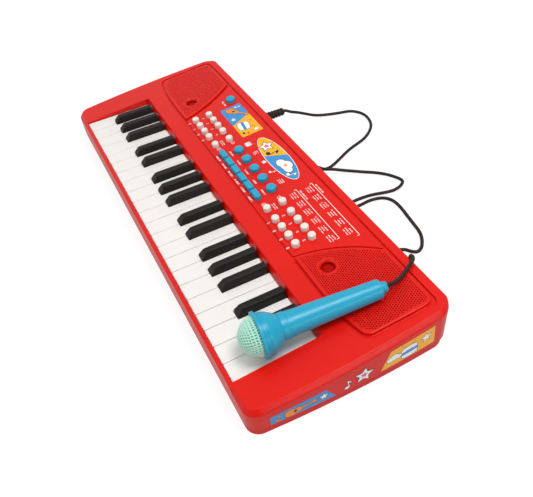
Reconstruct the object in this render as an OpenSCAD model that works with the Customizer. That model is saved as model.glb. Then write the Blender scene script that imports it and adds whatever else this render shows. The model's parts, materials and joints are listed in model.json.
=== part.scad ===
/* [Case] */
// Length from end to end, across the widest part of the bowed ends
case_length = 429; // [427:0.5:436]
// Depth from the player's side to the back
case_depth = 159.5; // [158:0.5:164]
// Height of the sloping top above the table at the player's edge
front_height = 27.3; // [26.5:0.1:28]
// Height of the sloping top above the table at the back edge
back_height = 39.3; // [38.5:0.1:42]
// How far the middle of each end bows out past its corners
end_bow = 3; // [2:0.5:5]
// Plan radius of the two corners next to the player
front_corner = 11; // [8:1:14]
// Plan radius of the two corners at the back
back_corner = 15; // [12:1:20]
// Wall thickness of both case mouldings
wall = 2.4; // [2:0.1:2.6]
// Height of the moulded feet under the lower case
foot_height = 1.5; // [1:0.5:2]
// Height of the seam between the lower and upper case
seam_height = 7; // [6:0.5:8]

/* [Keys] */
// Width from one white key to the next
key_pitch = 16.5; // [16.3:0.05:16.6]
// Height of the white keys' tops above the table
key_top = 26; // [25.8:0.1:26.2]
// Length of a white key that shows
white_length = 65.6; // [64:0.5:66]
// Gap between neighbouring keys
key_gap = 0.4; // [0.3:0.05:0.5]
// Length of a black key that shows
black_length = 39.5; // [37:0.5:40]
// Width of a black key at the white keys' level
black_width = 8.9; // [8.4:0.1:9]
// How far a black key stands above the white keys
black_height = 6.4; // [5.5:0.1:6.6]
// How far the front of a white key goes down
key_travel = 4; // [3:0.5:4]

/* [Buttons] */
// Radius of the small numbered buttons
number_button_r = 3.3; // [3:0.1:3.5]
// How far the numbered buttons stand above the panel
number_button_h = 4.2; // [3:0.1:5]
// Radius of the five round pads
pad_button_r = 4.5; // [4:0.1:5]
// How far the round pads and the bars stand above the panel
pad_button_h = 4.1; // [2.5:0.1:4.4]
// Radius of the power button
power_button_r = 4.6; // [4:0.1:5]
// How far every button goes down
button_travel = 1.2; // [0.8:0.1:1.2]

/* [Speakers] */
// Radius of each speaker's mounting flange
speaker_r = 20; // [18:0.5:20]
// How far the grille pads stand above the panel
grille_pad_h = 1.2; // [0.8:0.1:1.3]
// Radius of the round recess in each grille pad
recess_r = 7; // [6:0.2:8]

/* [Microphone] */
// Radius of the rim around the microphone's ball
mic_rim_r = 17; // [16.6:0.1:17.2]
// Length of the handle behind the rim
mic_length = 90; // [85:1:95]
// Handle radius next to the collar
mic_neck_r = 9.4; // [9:0.1:9.8]
// Handle radius at the tail
mic_tail_r = 7.1; // [6.6:0.1:7.1]
// How far the microphone lifts straight off the keys
mic_lift = 40; // [10:5:60]
// Radius of the microphone cable
cable_r = 1.5; // [1.2:0.1:1.7]

/* [Hidden] */
$fn = 64;
// A gap that keeps touching parts apart
hair = 0.05;
tilt = atan((back_height - front_height) / case_depth);
front_y = -case_depth / 2;
back_y = case_depth / 2;
base_z = foot_height;

white_count = 22;
// How far each black key sits from the gap between its white keys, for F G A B C D E
black_shift = [-2.4, -0.1, 2.4, 0, -1.5, 1.6, 0];
keys_left = -white_count * key_pitch / 2;
key_front_y = front_y + 3.8;
key_rear_y = key_front_y + white_length;
black_front_y = key_rear_y - black_length;
// How far the front face of a black key leans back from upright
black_slope = 39;
pivot_y = key_rear_y + 15.9;
pivot_z = 22;
pivot_r = 1.6;
hook_r = 3.2;
hook_half = 2.6;
tail_top = key_top - 1;
tail_depth = 6;
// Clearance between the keys and the well around them, and the lean of the well's back face
well_gap = 0.4;
well_wall = 1.8;
well_lean = 16;

row_front_y = 17.5;
row_back_y = 32.1;
number_step = 11.3;
number_gap = 15;
bass_numbers_x = -107;
treble_numbers_x = 49.6;
pad_x = -36.5;
pad_step = 16.35;
bar_x = -38.6;
bar_step = 13.4;
bar_depth = 5.6;
bar_gap = 1.2;
// From the middle of the first or last bar to the middle of its round end
bar_reach = 3.5;
power_at = [-117.5, 60.8];
button_gap = 0.2;

groove_front_y = 9;
groove_back_y = 72;
groove_w = 2;
groove_depth = 1.4;
zone_end_x = 203;
zone_end_r = 7.5;
speaker_at = [165, 43];

web_top = -wall - hair;
web_h = 1.1;
board_h = 1.6;
web_half = 1.6;
peg_h = 1.1;
// How far the flange under a button reaches past its cap, which stops it coming out
flange = 0.9;
button_board_top = -9.2;
mat_h = 0.8;
key_board_z = base_z + 7.5;
plunger_y = -31;
plunger_z = key_board_z + board_h + 6.4;

jack_x = -101;
jack_z = 16;
tub = [62, 55, 18.2];
tub_x = 52;
tub_y = 46.5;
cell_r = 7.1;
cell_length = 50;
door_gap = 0.3;
door_axis_y = tub_y + tub[1] / 2 - 1.5;
door_axis_z = base_z + 1.2;
door_barrel_r = 1.2;
door_pin_r = 0.7;
door_screw_y = tub_y - tub[1] / 2 - 2.6;
door_ear = 4;

mic_at = [168.2, -48, key_top + mic_rim_r + hair];
mic_turn = -5.3;
mic_pitch = 1.4;
mic_ball_r = 14.8;

boss_spots = [[-198, -62], [198, -62], [-196, 60], [196, 60], [-50.2, 13.4], [40.7, 13.4], [-50, 68],
    [108, 68]];
boss_r = 3.2;
pilot_r = 1.25;
foot_spots = [[-178, -55], [178, -55], [0, 0], [-178, 52], [178, 52]];
foot_r = 8;

function two(n) = n < 10 ? str("0", n) : str(n);
function has_black(i) = i >= 0 && i < white_count - 1 && i % 7 != 3 && i % 7 != 6;
black_slots = [for (i = [0:white_count - 1]) if (has_black(i)) i];
WHITE_NAMES = [for (i = [1:white_count]) str("white_key_", two(i))];
BLACK_NAMES = [for (i = [1:len(black_slots)]) str("black_key_", two(i))];
OTHER_NAMES = ["upper_case", "lower_case", "battery_door", "battery_door_screw", "power_button",
    "number_buttons_bass", "number_buttons_treble", "round_pads", "bar_buttons", "contact_rubbers",
    "circuit_boards", "speaker_frames", "speaker_cones", "battery_cells", "battery_contacts", "mic_jack",
    "mic_plug", "mic_cable", "mic_handle", "mic_ball", "mic_capsule", "case_screws", "labels"];

// ---- Plan of the case: bowed ends, four rounded corners, all offset inwards by i ----
bow_r = (pow(case_depth / 2, 2) + end_bow * end_bow) / (2 * end_bow);
function corner_x(r) = case_length / 2 - bow_r + sqrt(pow(bow_r - r, 2) - pow(case_depth / 2 - r, 2));
function tangent_y(r, i) = (case_depth / 2 - r) * (bow_r - i) / (bow_r - r);

module plan(i = 0) {
    reach = case_length;
    intersection() {
        translate([case_length / 2 - bow_r, 0]) circle(bow_r - i, $fn = 1440);
        translate([bow_r - case_length / 2, 0]) circle(bow_r - i, $fn = 1440);
        translate([-reach, -tangent_y(front_corner, i)])
            square([2 * reach, tangent_y(front_corner, i) + tangent_y(back_corner, i)]);
    }
    translate([-corner_x(front_corner), front_y + i]) square([2 * corner_x(front_corner), case_depth / 2]);
    translate([-corner_x(back_corner), -i]) square([2 * corner_x(back_corner), case_depth / 2]);
    for (side = [-1, 1]) {
        translate([side * corner_x(front_corner), front_y + front_corner]) circle(front_corner - i);
        translate([side * corner_x(back_corner), back_y - back_corner]) circle(back_corner - i);
    }
}

// ---- The sloping top: s runs up the slope from the front edge, h stands off it ----
module on_slope() {
    translate([0, front_y, front_height]) rotate([tilt, 0, 0]) children();
}

module at_panel(x, y, h = 0) {
    on_slope() translate([x, (y - front_y) / cos(tilt), h]) children();
}

function panel_z(y) = front_height + (y - front_y) * tan(tilt);

module below_slope(h = 0) {
    on_slope() translate([-300, -100, h - 120]) cube([600, 400, 120]);
}

module block(x0, x1, y0, y1, z0, z1) {
    translate([x0, y0, z0]) cube([x1 - x0, y1 - y0, z1 - z0]);
}

// A bar along x whose section is given by points in y and z
module prism_x(x0, x1, points) {
    translate([x0, 0, 0]) rotate([90, 0, 90]) linear_extrude(x1 - x0) polygon(points);
}

// ---- Grille pads: a curved inner edge, a front edge that curves back, rounded ends ----
module round_box(x0, x1, y0, y1, r) {
    translate([x0 + r, y0]) square([x1 - x0 - 2 * r, y1 - y0]);
    translate([x0, y0 + r]) square([x1 - x0, y1 - y0 - 2 * r]);
    for (x = [x0 + r, x1 - r], y = [y0 + r, y1 - r]) translate([x, y]) circle(r);
}

// Centre of the arc through two ends that bulges by sag to the left of the way from a to b
function arc_r(a, b, sag) = (pow(norm(b - a) / 2, 2) + sag * sag) / (2 * sag);
function arc_centre(a, b, sag) =
    (a + b) / 2 + (arc_r(a, b, sag) - sag) * [b[1] - a[1], a[0] - b[0]] / norm(b - a);

module zone(i, inner_low, inner_high, sag) {
    a = [inner_low, groove_front_y];
    b = [inner_high, groove_back_y];
    bend_x = 152;
    bend_r = 190;
    intersection() {
        round_box(60, zone_end_x - i, groove_front_y + i, groove_back_y - i, zone_end_r);
        translate(arc_centre(a, b, sag)) circle(arc_r(a, b, sag) - i, $fn = 360);
        union() {
            translate([bend_x, groove_front_y + bend_r]) circle(bend_r - i, $fn = 360);
            translate([60, groove_front_y + i]) square([bend_x - 60, 80]);
        }
    }
}

module treble_zone(i) { zone(i, 108.4, 143.2, 6.2); }

module bass_zone(i) { mirror([1, 0]) zone(i, 115.5, 147, 4); }

module both_zones(i) {
    treble_zone(i);
    bass_zone(i);
}

// Raises a plan drawn in case x and y onto the slope, from h0 to h1
module rise(h0, h1) {
    on_slope() translate([0, case_depth / 2 / cos(tilt), h0]) linear_extrude(h1 - h0) children();
}

module grooves() {
    rise(-groove_depth, 5) {
        difference() {
            both_zones(-groove_w / 2);
            both_zones(groove_w / 2);
        }
        for (y = [groove_front_y, groove_back_y])
            translate([-116, y - groove_w / 2]) square([116 + 109, groove_w]);
        translate([108, groove_back_y - groove_w / 2]) square([36, groove_w]);
        translate([-148, groove_back_y - groove_w / 2]) square([36, groove_w]);
    }
}

module recesses() {
    for (x = [-141.4, 132.2]) {
        at_panel(x, 26.4, -1.2) cylinder(r1 = recess_r * 0.7, r2 = recess_r, h = 1.2 + grille_pad_h);
        at_panel(x, 26.4, grille_pad_h - hair) cylinder(r = recess_r, h = 3);
        at_panel(x, 26.4, -1.6 - wall / 2) cylinder(r = recess_r * 0.7, h = 6);
    }
}

module recess_cups() {
    for (x = [-141.4, 132.2]) at_panel(x, 26.4, -wall - 1.8) cylinder(r = recess_r * 0.7 + 1.4, h = 2);
}

// ---- Button positions ----
bass_columns = [for (i = [0:4]) bass_numbers_x + i * number_step + (i == 4 ? number_gap - number_step : 0)];
treble_columns = [for (i = [0:4])
    treble_numbers_x + i * number_step + (i > 0 ? number_gap - number_step : 0)];
pad_columns = [for (i = [0:4]) pad_x + i * pad_step];
bar_columns = [for (i = [0:5]) bar_x + i * bar_step];

module number_grid(columns) {
    for (x = columns, y = [row_front_y, row_back_y]) translate([x, y]) children();
}

module bar_shape(grow = 0) {
    half = bar_depth / 2 + grow;
    first = bar_columns[0];
    last = bar_columns[5];
    translate([first, row_front_y - half]) square([last - first, 2 * half]);
    for (x = [first - bar_reach, last + bar_reach]) translate([x, row_front_y]) circle(half);
    for (x = [first - bar_reach, last]) translate([x, row_front_y - half]) square([bar_reach, 2 * half]);
}

module button_openings() {
    rise(-wall - 3, 6) {
        number_grid(bass_columns) circle(number_button_r + button_gap);
        number_grid(treble_columns) circle(number_button_r + button_gap);
        for (x = pad_columns) translate([x, row_back_y]) circle(pad_button_r + button_gap);
        translate(power_at) circle(power_button_r + button_gap);
        bar_shape(button_gap);
    }
}

// ---- Upper case ----
// The opening for the keys; its back face leans away from them above their tops
module key_well() {
    rear = key_rear_y + well_gap;
    lean_from = key_top - 1;
    prism_x(keys_left - well_gap, -keys_left + well_gap, [[key_front_y - well_gap, -1], [rear, -1],
        [rear, lean_from], [rear + (60 - lean_from) * tan(well_lean), 60], [key_front_y - well_gap, 60]]);
}

module well_walls() {
    half = well_gap - keys_left + well_wall;
    rear = key_rear_y + well_gap + well_wall;
    lean = (60 - key_top) * tan(well_lean);
    intersection() {
        union() {
            for (side = [0, 1]) mirror([side, 0, 0])
                block(half - well_wall - 0.3, half, key_front_y - 3, rear - 0.4, key_top - 10, 60);
            prism_x(-half, half, [[key_rear_y - 3, key_top + well_gap], [rear, key_top + well_gap],
                [rear + lean, 60], [key_rear_y - 3, 60]]);
        }
        below_slope(-wall / 3);
    }
}

module upper_pillars() {
    intersection() {
        union() {
            for (p = boss_spots) translate([p[0], p[1], seam_height + 3]) cylinder(r = boss_r, h = 60);
            for (x = [-120, 106.5], y = [27, 48]) at_panel(x, y, button_board_top) cylinder(r = 2.2, h = 8);
        }
        below_slope(-wall / 2);
    }
}

module upper_case() {
    color("#e2241b") difference() {
        union() {
            difference() {
                intersection() {
                    translate([0, 0, seam_height]) linear_extrude(60) plan();
                    below_slope();
                }
                intersection() {
                    translate([0, 0, seam_height - 1]) linear_extrude(60) plan(wall);
                    below_slope(-wall);
                }
            }
            well_walls();
            upper_pillars();
            recess_cups();
            rise(-0.5, grille_pad_h) both_zones(groove_w / 2);
        }
        key_well();
        grooves();
        recesses();
        button_openings();
        for (p = boss_spots) translate([p[0], p[1], seam_height]) cylinder(r = pilot_r, h = 13);
        translate([jack_x, back_y + 1, jack_z]) rotate([90, 0, 0]) cylinder(r = 4, h = wall + 2);
    }
}

// ---- Lower case ----
// The room for the cells, from below the floor up to height z
module tub_space(z) {
    block(tub_x - tub[0] / 2, tub_x + tub[0] / 2, tub_y - tub[1] / 2, tub_y + tub[1] / 2, 0, z);
}

module tub_walls() {
    difference() {
        block(tub_x - tub[0] / 2 - 1.6, tub_x + tub[0] / 2 + 1.6, tub_y - tub[1] / 2 - 1.6,
            tub_y + tub[1] / 2 + 1.6, base_z, base_z + tub[2] + 1.6);
        tub_space(base_z + tub[2]);
    }
}

// Boss for the screw of the battery door
module door_boss() {
    block(tub_x - 6, tub_x + 6, door_screw_y - 6, tub_y - tub[1] / 2 - 1, base_z, 12);
}

// The bar that all the keys hook over, on a rib wherever two white keys meet with no black key between
module pivot_bar() {
    translate([keys_left - 1, pivot_y, pivot_z]) rotate([0, 90, 0])
        cylinder(r = pivot_r, h = -2 * keys_left + 2, $fn = 48);
    for (i = [0:white_count]) if (!has_black(i - 1)) {
        x = keys_left + i * key_pitch;
        half = i == 0 || i == white_count ? 0.8 : 1;
        block(x - half, x + half, pivot_y - 4, pivot_y + 1.2, base_z + 1, pivot_z - 0.6);
    }
}

module lower_case() {
    color("#d92128") difference() {
        union() {
            difference() {
                translate([0, 0, base_z]) linear_extrude(seam_height - base_z) plan(0.7);
                translate([0, 0, base_z + 2]) linear_extrude(20) plan(0.7 + wall);
                tub_space(10);
            }
            tub_walls();
            door_boss();
            pivot_bar();
            for (p = boss_spots) translate([p[0], p[1], base_z])
                cylinder(r = 5, h = seam_height + 3 - base_z);
            for (p = foot_spots) translate([p[0], p[1], 0]) cylinder(r = foot_r, h = foot_height + 1);
            for (x = [-174:58:174]) block(x - 0.8, x + 0.8, -40, -22, base_z + 1, key_board_z);
        }
        block(tub_x - door_ear, tub_x + door_ear, door_screw_y - door_ear, tub_y, 0, base_z + 2.3);
        translate([tub_x, door_screw_y, 0]) cylinder(r = 1.6, h = 10);
        translate([tub_x - tub[0] / 2 - 1.2, door_axis_y, door_axis_z]) rotate([0, 90, 0])
            cylinder(r = door_pin_r + 0.06, h = tub[0] + 2.4);
        for (p = boss_spots) translate([p[0], p[1], 0]) {
            cylinder(r = 3.2, h = base_z + 3);
            cylinder(r = 1.7, h = 20);
        }
    }
}

// ---- Battery door, cells and contacts ----
// The door turns on two pins at its back edge and is held by a screw through an ear at its front
module battery_door() {
    x0 = tub_x - tub[0] / 2 + door_gap;
    x1 = tub_x + tub[0] / 2 - door_gap;
    y0 = tub_y - tub[1] / 2 + door_gap;
    ear = door_ear - door_gap;
    color("#d92128") difference() {
        union() {
            block(x0, x1, y0, door_axis_y, base_z, base_z + 2);
            block(tub_x - ear, tub_x + ear, door_screw_y - ear, y0 + 1, base_z, base_z + 2);
            translate([x0, door_axis_y, door_axis_z]) rotate([0, 90, 0])
                cylinder(r = door_barrel_r, h = x1 - x0);
            translate([x0 - 1.3, door_axis_y, door_axis_z]) rotate([0, 90, 0])
                cylinder(r = door_pin_r, h = x1 - x0 + 2.6);
        }
        translate([tub_x, door_screw_y, 0]) cylinder(r = 1.7, h = 20);
        translate([tub_x, door_screw_y, 0]) cylinder(r = 3.1, h = base_z + 1);
    }
}

module battery_door_screw() {
    color("silver") translate([tub_x, door_screw_y, base_z]) {
        cylinder(r = 2.9, h = 0.95);
        cylinder(r = 1.2, h = 6.4);
    }
}

module battery_cells() {
    color("#2f6b3a") for (k = [0:3]) {
        way = k % 2 == 0 ? 1 : -1;
        translate([tub_x + (k - 1.5) * 15, tub_y, base_z + 3.6 + cell_r]) rotate([way * 90, 0, 0]) {
            translate([0, 0, -cell_length / 2]) cylinder(r = cell_r, h = cell_length - 1);
            cylinder(r = 2.7, h = cell_length / 2);
        }
    }
}

module battery_contacts() {
    color("silver") for (k = [0:3], end = [-1, 1]) {
        translate([tub_x + (k - 1.5) * 15, tub_y + end * tub[1] / 2, base_z + 3.6 + cell_r])
            rotate([end * 90, 0, 0]) translate([-5, -5, hair]) {
                cube([10, 10, 0.5]);
                translate([5, 5, 0]) cylinder(r1 = 3.6, r2 = 2.2, h = 2.2);
            }
    }
}

// ---- Keys ----
// Edges of white key i: its full width, then its narrow part between the black keys
function white_x0(i) = keys_left + i * key_pitch + key_gap / 2;
function white_x1(i) = keys_left + (i + 1) * key_pitch - key_gap / 2;
function black_x(i) = keys_left + (i + 1) * key_pitch + black_shift[i % 7];
function narrow_x0(i) = has_black(i - 1) ? black_x(i - 1) + black_width / 2 + key_gap : white_x0(i);
function narrow_x1(i) = has_black(i) ? black_x(i) - black_width / 2 - key_gap : white_x1(i);

// Tail that passes under the case and hooks over the pivot bar
module key_tail(x0, x1, from_y) {
    middle = (x0 + x1) / 2;
    difference() {
        union() {
            block(x0, x1, from_y, pivot_y - 2, tail_top - tail_depth, tail_top - 0.5);
            translate([middle - hook_half, pivot_y, pivot_z]) rotate([0, 90, 0])
                cylinder(r = hook_r, h = 2 * hook_half);
            block(middle - hook_half, middle + hook_half, pivot_y - 3, pivot_y, pivot_z - 1,
                pivot_z + hook_r);
        }
        block(x0 + 1.2, x1 - 1.2, from_y - 1, pivot_y - 4, 0, tail_top - 2);
        translate([x0 - 1, pivot_y, pivot_z]) rotate([0, 90, 0])
            cylinder(r = pivot_r + 0.06, h = 30, $fn = 48);
        block(x0 - 1, x1 + 1, pivot_y - 1.3, pivot_y + 1.3, pivot_z - 8, pivot_z);
        block(x0 - 1, middle - hook_half, pivot_y - 4.2, pivot_y + 5, 0, 40);
        block(middle + hook_half, x1 + 1, pivot_y - 4.2, pivot_y + 5, 0, 40);
    }
}

module white_key(i) {
    a = white_x0(i);
    b = white_x1(i);
    c = narrow_x0(i);
    d = narrow_x1(i);
    side = 1.3;
    shoulder = black_front_y - key_gap;
    color("#f3efe9") {
        difference() {
            union() {
                block(a, b, key_front_y, shoulder, key_top - 8, key_top);
                block(c, d, key_front_y, key_rear_y, key_top - 8, key_top);
                block(a, b, key_front_y, key_front_y + 2, key_top - 13, key_top);
            }
            block(a + side, b - side, key_front_y + 2, shoulder - side, 0, key_top - 2);
            block(c + side, d - side, key_front_y + 2, key_rear_y - side, 0, key_top - 2);
        }
        translate([(c + d) / 2, plunger_y, plunger_z]) cylinder(r = 1.8, h = key_top - 1 - plunger_z);
        key_tail(c, d, key_rear_y - side);
    }
}

module black_key(n) {
    i = black_slots[n - 1];
    x = black_x(i);
    w = black_width / 2;
    top_z = key_top + black_height;
    color("#2b2a29") {
        difference() {
            translate([x, key_rear_y - 0.5, 0]) rotate([90, 0, 0]) linear_extrude(black_length - 0.5)
                polygon([[-w, key_top - 7], [w, key_top - 7], [w, key_top + 0.4], [w - 1.6, top_z - 0.7],
                    [w - 2.3, top_z], [2.3 - w, top_z], [1.6 - w, top_z - 0.7], [-w, key_top + 0.4]]);
            translate([x, black_front_y, key_top + 1]) rotate([-black_slope, 0, 0])
                translate([-10, -20, -5]) cube([20, 20, 25]);
            block(x - w + 2.2, x + w - 2.2, black_front_y + 8, key_rear_y - 2, 0, top_z - 2.2);
        }
        translate([x, plunger_y, plunger_z]) cylinder(r = 1.8, h = top_z - 2 - plunger_z);
        key_tail(x - 3.2, x + 3.2, key_rear_y - 2.2);
    }
}

// ---- Buttons: caps above the panel, joined below it by a thin web with a peg under each cap ----
module web(x0, x1, y0, y1) {
    rise(web_top - web_h, web_top) translate([x0, y0]) square([x1 - x0, y1 - y0]);
}

module number_buttons(columns) {
    for (x = columns, y = [row_front_y, row_back_y]) {
        rise(web_top - web_h, number_button_h - 0.6) translate([x, y]) circle(number_button_r);
        rise(number_button_h - 0.61, number_button_h) translate([x, y]) circle(number_button_r - 0.6);
        rise(web_top - web_h - peg_h, web_top) translate([x, y]) circle(1.6);
    }
    for (y = [row_front_y, row_back_y]) web(columns[0] - 3.5, columns[4] + 3.5, y - web_half, y + web_half);
    web(columns[1] - 1.5, columns[1] + 1.5, row_front_y, row_back_y);
    web(columns[3] - 1.5, columns[3] + 1.5, row_front_y, row_back_y);
    for (x = columns, y = [row_front_y, row_back_y])
        rise(web_top - web_h, web_top) translate([x, y]) circle(number_button_r + flange);
}

module number_buttons_bass() { color("#f4f2ee") number_buttons(bass_columns); }

module number_buttons_treble() { color("#f4f2ee") number_buttons(treble_columns); }

module round_button(x, y, r, h) {
    rise(web_top - web_h, h - 1) translate([x, y]) circle(r);
    rise(h - 1.01, h - 0.4) translate([x, y]) circle(r - 0.5);
    rise(h - 0.41, h) translate([x, y]) circle(r - 1.2);
    rise(web_top - web_h, web_top) translate([x, y]) circle(r + flange);
    rise(web_top - web_h - peg_h, web_top) translate([x, y]) circle(2);
}

module round_pads() {
    color("#2fb4dc") {
        for (x = pad_columns) round_button(x, row_back_y, pad_button_r, pad_button_h);
        web(pad_columns[0], pad_columns[4], row_back_y - web_half, row_back_y + web_half);
    }
}

module power_button() {
    color("#2fb4dc") round_button(power_at[0], power_at[1], power_button_r, pad_button_h);
}

// Six bars in one row, the outer two with a round end
module bar_buttons() {
    color("#2fb4dc") {
        difference() {
            rise(web_top - web_h, pad_button_h) bar_shape();
            for (k = [1:5]) rise(0, pad_button_h + 1)
                translate([(bar_columns[k - 1] + bar_columns[k] - bar_gap) / 2, row_front_y - bar_depth])
                    square([bar_gap, 2 * bar_depth]);
        }
        web(bar_columns[0] - 7, bar_columns[5] + 7, row_front_y - 3.6, row_front_y + 3.6);
        for (x = bar_columns) rise(web_top - web_h - peg_h, web_top) translate([x, row_front_y]) circle(2);
    }
}

// ---- Rubber contact mats and circuit boards ----
module boss_clearances() {
    for (p = boss_spots) translate([p[0], p[1], 0]) cylinder(r = boss_r + 0.8, h = 60);
}

module key_domes() {
    for (i = [0:white_count - 1])
        translate([(narrow_x0(i) + narrow_x1(i)) / 2, plunger_y, key_board_z + board_h + 1])
            cylinder(r1 = 3.2, r2 = 2.4, h = 3.2);
    for (i = black_slots)
        translate([black_x(i), plunger_y, key_board_z + board_h + 1]) cylinder(r1 = 3.2, r2 = 2.4, h = 3.2);
}

module contact_rubbers() {
    mat_top = button_board_top + mat_h;
    numbers = concat(bass_columns, treble_columns);
    spots = concat([for (x = numbers, y = [row_front_y, row_back_y]) [x, y]],
        [for (x = pad_columns) [x, row_back_y]], [for (x = bar_columns) [x, row_front_y]], [power_at]);
    color("#8d8f92") {
        block(keys_left + 4, -keys_left - 4, plunger_y - 5, plunger_y + 5, key_board_z + board_h + 0.02,
            key_board_z + board_h + 1.02);
        key_domes();
        difference() {
            rise(button_board_top + 0.02, mat_top) translate([-116, 13.5]) square([218, 24]);
            boss_clearances();
        }
        rise(button_board_top + 0.02, mat_top) translate([-116, 30]) square([8, 34]);
        rise(button_board_top + 0.02, mat_top) translate([-124, 56]) square([16, 9]);
        for (p = spots) rise(mat_top - 0.1, mat_top + 1.9) translate(p) circle(2);
    }
}

module circuit_boards() {
    color("#2e6b45") {
        block(keys_left + 3, -keys_left - 3, plunger_y - 7, plunger_y + 7, key_board_z + 0.02,
            key_board_z + board_h);
        difference() {
            rise(button_board_top - board_h, button_board_top - 0.02) translate([-125, 12]) square([236, 55]);
            boss_clearances();
        }
    }
}

// ---- Speakers ----
module speaker_spots() {
    for (side = [-1, 1]) at_panel(side * speaker_at[0], speaker_at[1], -wall - 2) children();
}

module speaker_frames() {
    color("#55565a") speaker_spots() {
        difference() {
            union() {
                translate([0, 0, -1.5]) cylinder(r = speaker_r, h = 1.5);
                translate([0, 0, -8]) cylinder(r1 = 10, r2 = speaker_r - 1.5, h = 6.5);
            }
            translate([0, 0, -7]) cylinder(r1 = 9.5, r2 = speaker_r - 1.7, h = 6.51);
            translate([0, 0, -0.6]) cylinder(r = speaker_r - 1.7, h = 2);
        }
        translate([0, 0, -14]) cylinder(r = 11, h = 6);
    }
}

module speaker_cones() {
    color("#1f1f21") speaker_spots() {
        difference() {
            translate([0, 0, -6.4]) cylinder(r1 = 5, r2 = speaker_r - 3.2, h = 5.8);
            translate([0, 0, -5.8]) cylinder(r1 = 5, r2 = speaker_r - 3.2, h = 5.81);
        }
        translate([0, 0, -6.95]) cylinder(r = 5, h = 2.2);
    }
}

// ---- Microphone socket, plug and cable ----
module mic_jack() {
    color("#1d1d1f") difference() {
        union() {
            block(jack_x - 5.5, jack_x + 5.5, back_y - wall - 13.5, back_y - wall - 0.1, jack_z - 5,
                jack_z + 5);
            translate([jack_x, back_y + 0.4, jack_z]) rotate([90, 0, 0]) cylinder(r = 3.8, h = wall + 2);
        }
        translate([jack_x, back_y + 1, jack_z]) rotate([90, 0, 0]) cylinder(r = 1.8, h = 15);
    }
}

module mic_plug() {
    color("#1d1d1f") translate([jack_x, back_y + 0.5, jack_z]) rotate([-90, 0, 0]) {
        translate([0, 0, -12]) cylinder(r = 1.74, h = 13);
        cylinder(r = 4.6, h = 13);
        translate([0, 0, 13]) cylinder(r = 3, h = 18);
        for (k = [0:4]) translate([0, 0, 14 + k * 3.4]) cylinder(r = 3.7 - 0.12 * k, h = 2);
    }
}

lay_z = cable_r + 0.1;
// The cable's way from the plug, over the table behind the case, up and over the back edge to the tail
cable_path = [[jack_x, back_y + 31.8, jack_z], [jack_x + 0.4, back_y + 34.8, 15.4], [-98.9, 118.8, 13.4],
    [-97.7, 126.5, 10.4], [-95.9, 133.8, 7.2], [-93.2, 140.7, 4.6], [-90.9, 147.9, 2.8], [-88, 157.4, 1.8],
    [-84.5, 167.5, lay_z], [-79, 182, lay_z], [-65, 189, lay_z], [-46, 184, lay_z], [-31, 167, lay_z],
    [-22, 142, lay_z], [-8.6, 113.5, lay_z], [-10.5, 101.5, lay_z], [-16, 93.5, 2.2], [-20.5, 92.5, 3.2],
    [-20, 96.5, 4.4], [-13, 99, 5], [-5.3, 103.5, 4.9], [-0.2, 110.5, 4.9], [6.1, 119.9, 3.6],
    [14.8, 133.4, 1.9], [24, 145, lay_z], [35, 153.6, lay_z], [47, 157, lay_z],
    [53, 143, lay_z], [47.5, 121, lay_z], [46.5, 104, lay_z], [49.5, 95, lay_z], [54, 103, lay_z],
    [53.5, 118, lay_z], [58, 130, lay_z],
    [70, 134.5, lay_z], [95, 131.5, lay_z], [112, 128.5, lay_z], [123.7, 121.3, lay_z], [128, 114.5, lay_z],
    [125.5, 109.8, lay_z], [120.3, 105.8, lay_z], [118.5, 99, lay_z], [124, 91.5, 2.5], [136, 88.5, 6],
    [147, 86, 15], [153.3, 83.6, 28], [156.7, 82.2, 37], [159, 80.9, 41.3], [161.6, 80.3, 42.6],
    [164, 78.6, 42.4], [166.4, 74.6, 41.9], [169.3, 69.2, 41.8], [172.1, 64, 41.9], [174.8, 57.8, 42.8],
    [176.2, 52.2, 44.2], [176.9, 48.6, 45.2], [177, 47.2, 45.4]];

function curve_at(p, k, t) =
    let (a = p[max(k - 1, 0)], b = p[k], c = p[k + 1], d = p[min(k + 2, len(p) - 1)])
    0.5 * (2 * b + (c - a) * t + (2 * a - 5 * b + 4 * c - d) * t * t + (3 * b - a - 3 * c + d) * t * t * t);
function unit(v) = v / norm(v);
// Carries the side vector along the curve so that the tube never twists sharply
function carried(dirs, k, side) = unit(side - (side * dirs[k]) * dirs[k]);
function sides(dirs, k, side) =
    k >= len(dirs) ? [] : let (s = carried(dirs, k, side)) concat([s], sides(dirs, k + 1, s));

module mic_cable() {
    steps = 4;
    ring = 8;
    n = len(cable_path);
    line = concat([for (k = [0:n - 2], j = [0:steps - 1]) curve_at(cable_path, k, j / steps)],
        [cable_path[n - 1]]);
    m = len(line);
    dirs = [for (k = [0:m - 1]) unit(line[min(k + 1, m - 1)] - line[max(k - 1, 0)])];
    side = sides(dirs, 0, [1, 0, 0]);
    skin = [for (k = [0:m - 1], j = [0:ring - 1])
        line[k] + cable_r * (side[k] * cos(j * 360 / ring) + cross(dirs[k], side[k]) * sin(j * 360 / ring))];
    quads = [for (k = [0:m - 2], j = [0:ring - 1])
        [k * ring + j, k * ring + (j + 1) % ring, (k + 1) * ring + (j + 1) % ring, (k + 1) * ring + j]];
    color("#1d1d1f") polyhedron(skin, concat([for (q = quads) [q[3], q[2], q[1], q[0]]],
        [[for (j = [0:ring - 1]) j]], [[for (j = [0:ring - 1]) m * ring - 1 - j]]));
}

// ---- Microphone: local z runs from the rim to the tail ----
module on_mic() {
    translate(mic_at) rotate([0, 0, mic_turn]) rotate([mic_pitch - 90, 0, 0]) children();
}

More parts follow.
